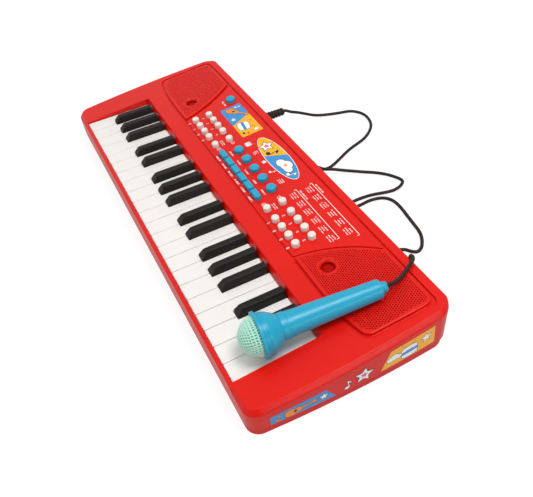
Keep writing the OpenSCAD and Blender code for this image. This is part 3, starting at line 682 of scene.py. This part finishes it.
def round_pads(look):
    shape = Shape()
    for x, v in ROUND_PADS:
        button(shape, x, v, PAD_R, CAP_H)
    web(shape, ROUND_PADS[0][0], ROUND_PADS[-1][0], ROUND_PADS[0][1] - 1.6, ROUND_PADS[0][1] + 1.6)
    return piece("round_pad_caps", shape, [look], "round_pads", ["round_pads"])


def power_button(look):
    shape = Shape()
    button(shape, *POWER[0], POWER_R, CAP_H)
    return piece("power_button_cap", shape, [look], "power_button", ["power_button"])


def bar_buttons(look):
    """Six bars on one strip; the outer two have a round end."""
    shape = Shape()
    shape.solid([[panel(x, v, h) for x, v in bar_outline()] for h in (WEB_LOW, 0.2)])
    profile = edge_steps(BAR_EDGE, CAP_H) + [(0, 0)]
    last = len(BARS) - 1
    for k, (x0, x1, v0, v1) in enumerate(BARS):
        full = (v1 - v0) / 2 * 0.97
        cut_0, cut_1 = full if k == 0 else BAR_CUT, full if k == last else BAR_CUT
        corners = box(x0 + (0 if k == 0 else BAR_GAP), x1 - (0 if k == last else BAR_GAP), v0, v1)
        rings = swept_corners(shape, corners, [cut_0, cut_1, cut_1, cut_0], profile, steps=6)
        shape.face(rings[0])
        shape.face(rings[-1])
    return piece("bar_button_caps", shape, [look], "bar_buttons", ["bar_buttons"])


# ---- Microphone ----
def mic_axis():
    """Middle of the ball, and directions along the handle and across it, from the CAD's handle."""
    rim_front = 1.2
    points = np.array([v.co for v in frame["nodes"]["mic_handle"].data.vertices]) / MM
    centre = points.mean(0)
    _, _, ways = np.linalg.svd(points - centre, full_matrices=False)
    along = ways[0] if ways[0][1] > 0 else -ways[0]
    origin = centre + along * (((points - centre) @ along).min() + rim_front)
    along = Vector(along)
    across = along.cross(Vector((0, 0, 1))).normalized()
    return Vector(origin), along, across, along.cross(across)


MIC_AT, MIC_ALONG, MIC_SIDE, MIC_UP = mic_axis()
PLUG_LOW, PLUG_HIGH = span("mic_plug")
PLUG_END = Vector(((PLUG_LOW.x + PLUG_HIGH.x) / 2, PLUG_HIGH.y, (PLUG_LOW.z + PLUG_HIGH.z) / 2))
PLUG_LENGTH = 31


def on_mic(r, turn, z):
    return MIC_AT + MIC_ALONG * z + (MIC_SIDE * math.cos(turn) + MIC_UP * math.sin(turn)) * r


def mic_handle(look):
    """The rim, the bell-shaped collar, the tapering handle and its end cap, with the hollow inside."""
    neck, tail, length, ball, wall = 9.4, 7.1, 90, 14.9, 1.8
    outside = [(ball, -1.2), (16.6, -1.2), (16.9, -1.05), (17, -0.75), (17, 0.7), (16.88, 1.0), (16.6, 1.2),
               (15.4, 1.35), (15.2, 1.6), (15.15, 3.9), (14.95, 4.05), (14.95, 4.35), (15.08, 4.5),
               (14.9, 5.6), (14.5, 6.7), (13.95, 7.85), (13.3, 9.1), (12.65, 10.35), (12.0, 11.5),
               (11.3, 12.6), (10.6, 13.5),
               (10.15, 14.1), (9.95, 14.4), (9.72, 14.55), (9.72, 14.8), (9.9, 14.95), (9.95, 15.2),
               (9.95, 19.2), (9.85, 19.5), (9.5, 19.75), (neck, 20.1), (neck, 23), (neck - 0.08, 23.35),
               (neck - 0.22, 23.6)]
    outside += [(neck - 0.25 + (tail - neck + 0.25) * t, 24 + (length - 25) * t)
                for t in (0.05, 0.25, 0.5, 0.75, 0.93, 1)]
    outside += [(tail - 0.12, length - 0.5), (tail - 0.4, length - 0.12), (tail - 0.8, length), (4.5, length),
                (4.3, length + 0.25), (4.2, length + 2.9), (3.95, length + 4.2), (3.4, length + 4.95),
                (2.5, length + 5.2), (1.7, length + 5.2), (1.6, length + 4.9), (0, length + 4.9)]
    within = [(0, length + 2), (3, length + 1), (tail - wall, length - 3), (neck - wall, 20),
              (neck - wall, 14), (11.6, 9.5), (13.3, 4), (13.6, 1.6), (ball, 1.5)]
    shape = Shape()
    shape.turned(within + outside, on_mic, 96)
    return piece("microphone_handle", shape, [look], "microphone", ["mic_handle"], 30)


def mic_ball(looks):
    """A round grille: rows of slots that are long beside the rim and short towards the nose, staggered."""
    radius, depth, skin, rim, nose, slot_width = 14.8, 1.1, 1.9, 1.4, 0.05, 2.0
    bands, steps = 150, 360
    edge = math.acos(-rim / radius)
    rows, at = [], edge - 0.03
    for length in [3.8, 2.9, 2.5] + [2.1] * 12:
        if at - length / radius > 0.1:
            rows.append((at - length / radius, at))
            at -= length / radius

    def pit(theta, turn):
        """How deep the surface lies at an angle from the nose and round the axis, from 0 to 1."""
        for k, (low, high) in enumerate(rows):
            if low < theta < high:
                middle = (low + high) / 2
                count = max(round(TAU * math.sin(min(middle, math.pi / 2)) * radius / slot_width), 5)
                u = abs(((turn / TAU * count + k % 2 / 2) % 1) - 0.5) * 2
                w = abs(theta - middle) / (high - low) * 2
                round_way = min(max((0.62 - u) / 0.28, 0), 1)
                long_way = min(max((0.80 - w) / (0.5 if high - low < 0.2 else 0.25), 0), 1)
                return round_way * long_way
        return 0

    turns = [TAU * k / steps for k in range(steps)]
    rings = []
    for j in range(bands + 1):
        theta = nose + (edge - nose) * j / bands
        reach = [(turn, radius - depth * pit(theta, turn)) for turn in turns]
        rings.append([on_mic(r * math.sin(theta), turn, -r * math.cos(theta)) for turn, r in reach])
    inner = (radius - skin) * math.sin(edge)
    for t in (math.pi / 2 * k / 12 for k in range(12)):
        r, z = inner * math.cos(t), -math.sin(t) * (radius - skin) + rim * math.cos(t)
        rings.append([on_mic(r, turn, z) for turn in turns])
    shape = Shape()
    shape.solid(rings)
    # Faces sunk more than half a slot's depth take the second material, a darker mint that paints the shade
    # in the slots.
    for n, corners in enumerate(shape.faces):
        middle = sum((shape.points[i] for i in corners), Vector()) / len(corners)
        if (middle - MIC_AT).length < radius - depth * 0.55:
            shape.looks[n] = 1
    return piece("microphone_ball", shape, looks, "microphone", ["mic_ball"], 180)


def cable_line():
    """Middle points of the CAD's cable, ring by ring from the plug's end."""
    mesh = frame["nodes"]["mic_cable"].data
    index, ids = {}, []
    for v in mesh.vertices:
        ids.append(index.setdefault(tuple(round(c, 6) for c in v.co), len(index)))
    spots = [None] * len(index)
    for v, n in zip(mesh.vertices, ids):
        spots[n] = spots[n] or v.co / MM
    near = [set() for _ in spots]
    for polygon in mesh.polygons:
        corners = {ids[i] for i in polygon.vertices}
        for a in corners:
            near[a] |= corners - {a}
    start = min(spots, key=lambda p: (p - PLUG_END).length)
    ring = {i for i, p in enumerate(spots) if (p - start).length < 3.2 and abs(p.y - start.y) < 0.4}
    seen, line = set(), []
    while ring:
        line.append(sum((spots[i] for i in ring), Vector()) / len(ring))
        seen |= ring
        ring = {j for i in ring for j in near[i]} - seen
    return line


def mic_cable(look):
    """A smooth round cable along the CAD's one."""
    radius, steps = 1.5, 16
    line = cable_line()
    side = Vector((1, 0, 0))
    rings = []
    for k, p in enumerate(line):
        way = (line[min(k + 1, len(line) - 1)] - line[max(k - 1, 0)]).normalized()
        side = (side - way * side.dot(way)).normalized()
        up = way.cross(side)
        rings.append([p + (side * math.cos(t) + up * math.sin(t)) * radius
                      for t in (TAU * n / steps for n in range(steps))])
    shape = Shape()
    shape.solid(rings)
    obj = piece("microphone_cable", shape, [look], None, ["mic_cable"], 60)
    tail = on_mic(0, 0, 95) * MM
    start, end = (tail.x - 0.03, tail.y + 0.055, tail.z), (tail.x, tail.y + 0.004, tail.z)
    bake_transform(obj)
    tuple(start)
    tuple(end)
    return obj


def mic_plug(look):
    """The plug's grip with two grooves, then a strain relief of ribs that shrink towards the cable."""
    grip, groove, ribs, rib_step = 4.6, 4.35, 5, 3.4

    def place(r, turn, y):
        return PLUG_END + Vector((r * math.cos(turn), y - PLUG_LENGTH, r * math.sin(turn)))

    profile = [(0, -12), (1.2, -12), (1.74, -11), (1.74, 0.05), (4.2, 0.05), (grip, 0.45), (grip, 5.2)]
    for y in (5.5, 7.9):
        profile += [(groove, y), (groove, y + 0.6), (grip, y + 0.9)]
        profile.append((grip, 7.6 if y == 5.5 else 12.2))
    profile += [(4.3, 12.8), (3.9, 13.1)]
    for k in range(ribs):
        r, y = 4.25 - 0.07 * k, 13.9 + rib_step * k
        profile += [(r - 0.55, y - 0.4), (r - 0.2, y), (r, y + 0.35), (r, y + 1.65), (r - 0.2, y + 2),
                    (r - 0.55, y + 2.3)]
    profile += [(3.2, PLUG_LENGTH - 0.4), (2.6, PLUG_LENGTH), (0, PLUG_LENGTH)]
    shape = Shape()
    shape.turned(profile, place, 40)
    return piece("microphone_plug", shape, [look], "case", ["mic_plug"], 40)


# ---- Stickers and printing: thin plates on the panel and on the treble end ----
def plate(shape, outline, place, low, high, look, side_on=False):
    """A thin closed plate over an outline, from one height to another."""
    rings = [shape.ring([place(a, b, h) for a, b in outline]) for h in (low, high)]
    shape.skin(rings[0], rings[1], look)
    for ring in rings:
        shape.sheet(ring, (), look, side_on)


def kept_left(outline, a, b):
    """The part of a convex outline that lies to the left of the line from a to b."""
    def off(p):
        return (b[0] - a[0]) * (p[1] - a[1]) - (b[1] - a[1]) * (p[0] - a[0])
    part = []
    for p, q in zip(outline, outline[1:] + outline[:1]):
        if off(p) >= 0:
            part.append(p)
        if off(p) * off(q) < 0:
            t = off(p) / (off(p) - off(q))
            part.append((p[0] + (q[0] - p[0]) * t, p[1] + (q[1] - p[1]) * t))
    return part


def moved(outline, x, y, scale=1.0, turn=0.0):
    c, s = math.cos(math.radians(turn)) * scale, math.sin(math.radians(turn)) * scale
    return [(x + a * c - b * s, y + a * s + b * c) for a, b in outline]


def oval(a, b, steps=28, x=0.0, y=0.0):
    return [(x + a * math.cos(TAU * k / steps), y + b * math.sin(TAU * k / steps)) for k in range(steps)]


def star(r, waist=0.45):
    points = [(r if k % 2 == 0 else r * waist, TAU * k / 10) for k in range(10)]
    return [(-q * math.sin(t), q * math.cos(t)) for q, t in points]


NOTE = [oval(1.3, 0.95, 16, -0.6, -2), box(0.3, 0.75, -2, 2.6),
        [(0.3, 2.6), (0.75, 1.2), (2.2, 0.4), (1.5, 2.1)]]
DRUM = [box(-3, 3, -2, 1.6), oval(3, 1.0, 20, 0, -2), oval(3, 1.0, 20, 0, 1.6)]
DRUM_BAND = [box(-3, 3, -0.9, 0.5)]
STICKS = [[(-3.6, 5), (-3.1, 5.3), (0.2, 1.9), (-0.2, 1.6)], [(3.1, 5.3), (3.6, 5), (0.2, 1.6), (-0.2, 1.9)]]
GUITAR = [oval(2.6, 2.2, 20, -2.4, 0), oval(1.9, 1.6, 20, 0.4, 0), box(1.8, 6.6, -0.4, 0.4),
          box(6.4, 8.2, -0.75, 0.75)]
GUITAR_HOLE = [oval(0.75, 0.75, 14, -0.6, 0)]
CLOUD = [oval(2.2, 1.6, 20, -1.8, 0), oval(2.4, 2.1, 20, 0.3, 0.7), oval(1.9, 1.4, 20, 2.4, 0)]
BLUE, YELLOW, WHITE, BLACK, ORANGE, PINK = range(6)


def motif(shape, place, outlines, at, scale, turn, look, layer, rim=0.0):
    """Draws a small picture's parts at one layer height, with a dark rim round them if asked."""
    side_on = place is on_end
    for k, part in enumerate(outlines):
        part = moved(part, *at, scale, turn)
        height = 0.16 + 0.035 * layer + 0.002 * k
        if rim:
            plate(shape, grown(part, rim), place, 0.05, height - 0.02, BLACK, side_on)
        plate(shape, part, place, 0.05, height, look, side_on)


# The pictures on each sticker: parts, place, scale, turn, colour, layer and width of the dark rim
CARD_PICTURES = [
    (GUITAR, (-97, 55.5), 1.9, 38, ORANGE, 1, 0.4),
    (GUITAR_HOLE, (-97, 55.5), 1.9, 38, BLACK, 2),
    (NOTE, (-103.4, 61.5), 1.0, 12, WHITE, 1),
    ([star(2.8)], (-85, 48.8), 1, 10, WHITE, 1),
    (DRUM, (-69.5, 53), 2.1, -8, WHITE, 1, 0.4),
    (DRUM_BAND, (-69.5, 53), 2.1, -8, BLUE, 3),
    (STICKS, (-69.5, 53), 1.9, -8, ORANGE, 2, 0.25),
    ([star(3.4)], (-57.8, 60.6), 1, 8, WHITE, 1, 0.3),
    (NOTE, (-57.5, 49.8), 1.2, -8, BLACK, 1)]
OVAL_PICTURES = [
    ([star(7, 0.5)], (-27, 55.8), 1, 14, WHITE, 1, 0.6),
    ([star(3, 0.5)], (-27, 55.8), 1, 14, PINK, 3),
    (NOTE, (-15.5, 56.5), 2.1, 8, BLACK, 1),
    (CLOUD, (8, 55.9), 2.6, 6, WHITE, 1, 0.5),
    ([star(2.4)], (8.2, 57), 1, 0, ORANGE, 3),
    (NOTE, (21.8, 56), 1.6, -6, WHITE, 1, 0.3)]
END_PICTURES = [
    (GUITAR, (-46, 13.4), 1.8, 6, ORANGE, 1, 0.4),
    (GUITAR_HOLE, (-46, 13.4), 1.8, 6, BLACK, 2),
    (NOTE, (-59.5, 13.4), 1.15, 0, ORANGE, 1, 0.2),
    ([star(3.4)], (-26, 14.6), 1, 0, WHITE, 1, 0.3),
    ([star(7.4, 0.48)], (5, 16.4), 1, -8, WHITE, 1, 0.45),
    ([star(3.2)], (5, 16.4), 1, -8, PINK, 2),
    (NOTE, (-8, 14.5), 1.5, 10, WHITE, 1, 0.3),
    (DRUM, (42, 17.4), 2.2, 4, WHITE, 1, 0.45),
    (DRUM_BAND, (42, 17.4), 2.2, 4, BLUE, 3),
    (STICKS, (42, 18), 1.7, 4, PINK, 2, 0.3),
    (CLOUD, (29, 17.5), 1.5, 0, WHITE, 1, 0.4),
    ([star(4.6)], (56, 22), 1, 6, WHITE, 1, 0.4)]


def two_halves(shape, outline, a, b, low, high, left, right):
    """A sticker on the panel, cut in two colours by the line from a to b."""
    plate(shape, kept_left(outline, a, b), panel, low, high, left)
    plate(shape, kept_left(outline, b, a), panel, low, high, right)


def panel_stickers(looks):
    """The rectangular and the oval sticker, each in two colours, with pictures of instruments."""
    shape = Shape()
    two_halves(shape, box_outline(-107.5, -53, 44, 66, 1.0), (-75.7, 44), (-86, 66), -0.1, 0.15, BLUE, YELLOW)
    for picture in CARD_PICTURES:
        motif(shape, panel, *picture)
    centre = (-5.8, 56.4)
    plate(shape, oval(36.3, 10, 72, *centre), panel, -0.1, 0.12, WHITE)
    two_halves(shape, oval(35.7, 9.4, 72, *centre), (-15, 47), (-4, 66), -0.05, 0.16, YELLOW, BLUE)
    for picture in OVAL_PICTURES:
        motif(shape, panel, *picture)
    return piece("panel_stickers", shape, looks, "case", sharp=20)


def on_end(y, z, out):
    """The point on the bowed treble end at y, z and out from it. The end leans in a little below its edge."""
    edge, foot = panel_z(y) - END_EDGE[-1][1], SEAM + 0.4
    x = BOW_X + math.sqrt(BOW_R ** 2 - y ** 2)
    return Vector((x - 0.3 * (edge - z) / (edge - foot) + out, y, z))


def end_band(shape, low, high, look, steps=12):
    """A sticker that follows the bowed end, between a lower and an upper edge (start, end)."""
    def along(edge, t):
        return tuple(a + (b - a) * t for a, b in zip(*edge))
    levels = []
    for out in (-0.1, 0.15):
        lower = shape.ring([on_end(*along(low, k / steps), out) for k in range(steps + 1)])
        upper = shape.ring([on_end(*along(high, k / steps), out) for k in range(steps + 1)])
        for k in range(steps):
            shape.face([lower[k], lower[k + 1], upper[k + 1], upper[k]], look)
        levels.append(lower + upper[::-1])
    shape.skin(levels[0], levels[1], look)


def end_stickers(looks):
    """A blue and a yellow band with instruments, and a star between them, on the treble end."""
    shape = Shape()
    end_band(shape, ((-65, 9), (-17, 9)), ((-65, 17.5), (-24.5, 20.4)), BLUE)
    end_band(shape, ((18.7, 9.5), (64, 11)), ((26, 27), (63, 29.6)), YELLOW)
    for picture in END_PICTURES:
        motif(shape, on_end, *picture)
    return piece("end_stickers", shape, looks, "case", ["labels"], 20)


# Strokes of a digit in a cell one wide and two high: top, middle and bottom bars, then the four sides
STROKES = {"top": (0, 1, 1.72, 2), "middle": (0, 1, 0.86, 1.14), "bottom": (0, 1, 0, 0.28),
           "left_low": (0, 0.3, 0, 1), "left_high": (0, 0.3, 1, 2),
           "right_low": (0.7, 1, 0, 1), "right_high": (0.7, 1, 1, 2)}
WITHOUT = {0: "middle", 1: "top middle bottom left_low left_high", 2: "left_high right_low",
           3: "left_low left_high", 4: "top bottom left_low", 5: "left_low right_high", 6: "right_high",
           7: "middle bottom left_low left_high", 8: "", 9: "left_low"}


def mark(shape, outline):
    plate(shape, outline, panel, -0.06, 0.05, 0)


def digit(shape, number, x, v, size=1.35):
    for name, (x0, x1, y0, y1) in STROKES.items():
        if name not in WITHOUT[number].split():
            mark(shape, moved(box(x0 - 0.5, x1 - 0.5, y0 - 1, y1 - 1), x, v, size))


def dashes(shape, x, v, width, height=1.1, seed=0):
    """A row of short upright bars, some of them lower or left out, centred on x."""
    thick, step = 0.55, 0.95
    at, k = -width / 2, seed
    while at < width / 2 - 0.2:
        low = height * (0.5 if k % 3 else 0.28)
        if k % 7 != 5:
            mark(shape, box(x + at, x + min(at + thick, width / 2), v - height / 2, v + low))
        at, k = at + step, k + 1


def number_marks(shape):
    """A digit by each numbered button. The one that stands apart has it beside it, in a ring."""
    for group, alone, aside in (("bass", 4, 6.0), ("treble", 0, -7.5)):
        spots = sorted(NUMBERS[group], key=lambda p: (-round(p[1]), p[0]))
        for n, (x, v) in enumerate(spots):
            if n % 5 == alone:
                for turn in range(0, 360, 30):
                    mark(shape, moved(box(-0.5, 0.5, 1.5, 1.85), x + aside, v + 0.6, 1, turn))
                digit(shape, (n + 1) % 10, x + aside, v + 0.6, 0.95)
            else:
                digit(shape, (n + 1) % 10, x - 0.8, v - 6.7)
        between = (spots[0][1] + spots[5][1]) / 2
        dashes(shape, spots[alone][0], between + 0.6, 8, 1.0, 1)
        dashes(shape, spots[alone][0], between - 1.2, 7, 1.0, 3)


def bar_marks(shape):
    """Short rows of bars in front of each bar button, each round pad and the power button."""
    for k, (x0, x1, v0, _) in enumerate(BARS):
        dashes(shape, (x0 + x1) / 2, v0 - 2.9, 8.5, 1.7, k)
    for k, (x, v) in enumerate(ROUND_PADS):
        dashes(shape, x - 1, v - 7.3, 7.8, 1.6, k + 2)
    x, v = POWER[0]
    dashes(shape, x + 0.5, v - 8, 9, 1.9, 1)


def pad_icons(shape):
    """Behind each round pad, a small picture or three rows of bars."""
    icons = {0: DRUM + STICKS, 2: [star(2.6, 0.5)], 3: NOTE}
    rows = {1: 4.8, 4: 6.8}
    for k, (x, v) in enumerate(ROUND_PADS):
        at = (x - 4.2, v + 11.6)
        for part in icons.get(k, []):
            mark(shape, moved(part, *at, 1.05))
        if k in rows:
            for row in (-1.8, 0, 1.8):
                dashes(shape, at[0], at[1] + row, rows[k], 1.0, k + int(row))


def song_tables(shape):
    """Two ruled tables of small rows at the treble side, each under a long line with hooked ends."""
    line, hook, columns, rows, column_step, row_step = 0.25, 2, 6, 3, 12, 2.2
    for line_v, x0, x1 in ((49, 42, 112), (63.6, 43, 118)):
        mark(shape, box(x0, x1, line_v - line, line_v + line))
        for x in (x0, x1 - 2 * line):
            mark(shape, box(x, x + 2 * line, line_v - hook, line_v - line))
        dashes(shape, x0 + 10, line_v + 2.1, 13, 1.4, 2)
        for column in range(columns):
            for row in range(rows):
                dashes(shape, x0 + 6.2 + column * column_step, line_v - 3 - row * row_step,
                       8.4 - (column + row) % 3, 0.95, column + 2 * row)


def printing(look):
    """White marks on the panel: digits, icons and rows of bars that stand for words."""
    shape = Shape()
    number_marks(shape)
    bar_marks(shape)
    pad_icons(shape)
    song_tables(shape)
    return piece("panel_printing", shape, [look], "case", sharp=20)


# ---- Materials ----
def linear(rgb):
    """Linear colour from 0-255 sRGB numbers."""
    return tuple((c / 255 / 12.92) if c <= 10 else ((c / 255 + 0.055) / 1.055) ** 2.4 for c in rgb) + (1,)


def wire(tree, *ends):
    for a, b in zip(ends[::2], ends[1::2]):
        tree.links.new(a, b)


def put(node, **values):
    """Sets inputs of a shader node. A space in an input's name is written as _."""
    for name, value in values.items():
        node.inputs[name.replace("_", " ")].default_value = value
    return node


def plastic(name, rgb, rough=0.32, mottle=0.05, grain=0.12, grain_size=0.0009, soft=0.0, coat=0.0, metal=0.0,
            sheen=0.22):
    """Moulded plastic: slow colour drift, uneven gloss, and a fine grain in the surface."""
    material = bpy.data.materials.new(name)
    material.use_nodes = True
    tree = material.node_tree
    new = tree.nodes.new
    shader = tree.nodes["Principled BSDF"]
    where = new("ShaderNodeTexCoord").outputs["Object"]
    drift = put(new("ShaderNodeTexNoise"), Scale=45, Detail=4)
    gloss = put(new("ShaderNodeTexNoise"), Scale=160, Detail=3)
    fine = put(new("ShaderNodeTexNoise"), Scale=1 / grain_size, Detail=2)
    tint = new("ShaderNodeMix")
    tint.data_type = "RGBA"
    colour = linear(rgb)[:3]
    put(tint, A=tuple(c * (1 - mottle) for c in colour) + (1,),
        B=tuple(min(c * (1 + mottle) + mottle * 0.01, 1) for c in colour) + (1,))
    uneven = put(new("ShaderNodeMapRange"), To_Min=rough - 0.06, To_Max=rough + 0.08)
    bump = put(new("ShaderNodeBump"), Strength=grain, Distance=0.00008)
    wire(tree, where, drift.inputs["Vector"], where, gloss.inputs["Vector"], where, fine.inputs["Vector"],
         drift.outputs["Fac"], tint.inputs["Factor"], tint.outputs["Result"], shader.inputs["Base Color"],
         gloss.outputs["Fac"], uneven.inputs["Value"], uneven.outputs["Result"], shader.inputs["Roughness"],
         fine.outputs["Fac"], bump.inputs["Height"], bump.outputs["Normal"], shader.inputs["Normal"])
    put(shader, Specular_IOR_Level=sheen, Subsurface_Weight=soft, Subsurface_Radius=(0.8, 0.6, 0.5),
        Subsurface_Scale=0.002, Coat_Weight=coat, Metallic=metal)
    return material


def coordinates(tree):
    return next(n for n in tree.nodes if n.type == "TEX_COORD").outputs["Object"]


def brushed(name, rgb, rough=0.3):
    """Metal with fine stretched scratches."""
    material = plastic(name, rgb, rough, 0.08, 0.0, metal=1.0)
    tree = material.node_tree
    stretch = put(tree.nodes.new("ShaderNodeMapping"), Scale=(1, 30, 1))
    scratches = put(tree.nodes.new("ShaderNodeTexNoise"), Scale=400)
    bump = put(next(n for n in tree.nodes if n.type == "BUMP"), Strength=0.2)
    wire(tree, coordinates(tree), stretch.inputs["Vector"], stretch.outputs["Vector"],
         scratches.inputs["Vector"], scratches.outputs["Fac"], bump.inputs["Height"])
    return material


def board(name, rgb=(46, 107, 69)):
    """Green circuit board with paler tracks across it."""
    material = plastic(name, rgb, 0.4, 0.1)
    tree = material.node_tree
    tracks = put(tree.nodes.new("ShaderNodeTexBrick"), Scale=120, Color1=linear(rgb),
                 Color2=linear((38, 92, 60)), Mortar=linear((110, 150, 96)), Mortar_Size=0.04)
    wire(tree, coordinates(tree), tracks.inputs["Vector"],
         tracks.outputs["Color"], tree.nodes["Principled BSDF"].inputs["Base Color"])
    return material


def dress(node, look):
    """Gives a CAD node that stays a material."""
    obj = frame["nodes"][node]
    obj.data.materials.clear()
    obj.data.materials.append(look)
    for polygon in obj.data.polygons:
        polygon.material_index = 0


# ---- Stage ----
def floor():
    """A pale floor that glows a little, more so where the camera sees it, so that it shows as white paper."""
    reach = 6
    mesh = bpy.data.meshes.new("floor")
    mesh.from_pydata([(x, y, 0) for x, y in box(-reach, reach, -reach, reach)], [], [(0, 1, 2, 3)])
    sheet = bpy.data.objects.new("floor", mesh)
    bpy.context.scene.collection.objects.link(sheet)
    paper = plastic("floor_paper", (120, 120, 120), 0.8, 0.005, 0.05, sheen=0.0)
    tree = paper.node_tree
    shader = put(tree.nodes["Principled BSDF"], Emission_Color=(1, 1, 1, 1))
    seen = tree.nodes.new("ShaderNodeLightPath")
    glow = put(tree.nodes.new("ShaderNodeMapRange"), To_Min=0.48, To_Max=0.86)
    wire(tree, seen.outputs["Is Camera Ray"], glow.inputs["Value"],
         glow.outputs["Result"], shader.inputs["Emission Strength"])
    mesh.materials.append(paper)
    sheet.location.z = -0.0002


def surroundings():
    """White all round for the camera. As a light it is brighter on the bass side."""
    world = bpy.data.worlds.new("studio")
    bpy.context.scene.world = world
    world.use_nodes = True
    tree = world.node_tree
    new = tree.nodes.new
    back = put(tree.nodes["Background"], Color=(1, 1, 1, 1))
    split, seen, brighter = new("ShaderNodeSeparateXYZ"), new("ShaderNodeLightPath"), new("ShaderNodeMath")
    fade = put(new("ShaderNodeMapRange"), From_Min=-1, From_Max=1, To_Min=0.75, To_Max=0.3)
    brighter.operation = "MAXIMUM"
    wire(tree, new("ShaderNodeTexCoord").outputs["Generated"], split.inputs["Vector"],
         split.outputs["X"], fade.inputs["Value"], seen.outputs["Is Camera Ray"], brighter.inputs[0],
         fade.outputs["Result"], brighter.inputs[1], brighter.outputs["Value"], back.inputs["Strength"])


def softbox(name, at, aim, size, power):
    """A rectangular lamp, in metres and watts."""
    light = bpy.data.lights.new(name, "AREA")
    light.shape = "RECTANGLE"
    light.size, light.size_y = size
    light.energy = power
    lamp = bpy.data.objects.new(name, light)
    lamp.location = at
    lamp.rotation_mode = "QUATERNION"
    lamp.rotation_quaternion = (Vector(aim) - Vector(at)).to_track_quat("-Z", "Y")
    bpy.context.scene.collection.objects.link(lamp)


def stage():
    floor()
    surroundings()
    softbox("overhead", (0.35, 0.3, 1.3), (0.05, 0, 0), (0.6, 0.55), 10)
    softbox("strip", (1.37, 0.35, 0.42), (0.17, 0, 0.04), (0.9, 0.25), 2.6)
    softbox("player_side", (0.2, -1.3, 0.9), (0, 0, 0), (1.0, 0.7), 4)
    bpy.context.scene.view_settings.view_transform = "Standard"


def camera():
    """Looks down along the keyboard from its treble end, a little rolled."""
    at, aim, roll = Vector((0.4092, -0.1324, 0.3736)), Vector((0.08545, -0.00189, 0.030)), math.radians(-6.98)
    ahead = (aim - at).normalized()
    level = ahead.cross(Vector((0, 0, 1))).normalized()
    right = level * math.cos(roll) + level.cross(ahead) * math.sin(roll)
    data = bpy.data.cameras.new("camera")
    data.sensor_width, data.lens = 36, 42.04
    data.clip_start, data.clip_end = 0.01, 20
    cam = bpy.data.objects.new("camera", data)
    cam.rotation_mode = "QUATERNION"
    cam.location = at
    cam.rotation_quaternion = Matrix((right, right.cross(ahead), -ahead)).transposed().to_quaternion()
    bpy.context.scene.collection.objects.link(cam)
    bpy.context.scene.camera = cam


def main():
    red = plastic("case_red", (221, 14, 0), 0.3, sheen=0.3)
    # The same red made darker, as painted shade inside the recesses.
    red_recess_shade = plastic("case_red_recess_shade", (178, 6, 3), 0.45, sheen=0.1)
    under_red = plastic("lower_red", (214, 34, 34), 0.42)
    white = plastic("key_white", (238, 234, 230), 0.3, 0.02, 0.04, soft=0.08)
    black = plastic("key_black", (30, 26, 24), 0.4, 0.12, 0.35, 0.0004)
    sky = plastic("sky_blue", (24, 162, 196), 0.3, 0.04, 0.08, soft=0.05, sheen=0.4)
    button_white = plastic("button_white", (232, 224, 217), 0.34, 0.02, 0.05, soft=0.1)
    mint = plastic("mint", (184, 228, 212), 0.36, 0.03, 0.08, soft=0.2)
    # The same mint made darker, as painted shade in the ball's slots.
    mint_pit_shade = plastic("mint_pit_shade", (84, 186, 160), 0.5, 0.04, 0.08, soft=0.2)
    rubber = plastic("black_rubber", (46, 34, 32), 0.5, 0.1, 0.2, 0.0005)
    grey_rubber = plastic("grey_rubber", (141, 143, 146), 0.6, 0.06)
    steel = brushed("steel", (200, 200, 202))
    frame_metal = brushed("frame_metal", (120, 122, 126), 0.45)
    wrap = plastic("cell_wrap", (47, 107, 58), 0.35, 0.05, coat=0.3)
    ink = plastic("white_ink", (250, 238, 236), 0.5, 0.02, 0.05)
    films = [plastic("film_" + n, c, 0.3, 0.03, 0.05, coat=0.25) for n, c in (
        ("blue", (58, 144, 208)), ("yellow", (250, 178, 24)), ("white", (246, 244, 240)),
        ("black", (40, 38, 42)), ("orange", (240, 140, 36)), ("pink", (226, 90, 150)))]

    upper_case([red, red_recess_shade])
    for n in range(1, 23):
        white_key(n, white)
    for n in range(1, 16):
        black_key(n, black)
    for name in NUMBERS:
        number_buttons(name, button_white)
    round_pads(sky)
    power_button(sky)
    bar_buttons(sky)
    mic_handle(sky)
    mic_ball([mint, mint_pit_shade])
    mic_cable(rubber)
    mic_plug(rubber)
    panel_stickers(films)
    end_stickers(films)
    printing(ink)
    for node, look in (("lower_case", under_red), ("battery_door", under_red), ("battery_door_screw", steel),
                       ("contact_rubbers", grey_rubber), ("circuit_boards", board("board_green")),
                       ("speaker_frames", frame_metal), ("speaker_cones", rubber), ("battery_cells", wrap),
                       ("battery_contacts", steel), ("mic_jack", rubber), ("mic_capsule", frame_metal),
                       ("case_screws", steel)):
        dress(node, look)
    stage()
    camera()


main()
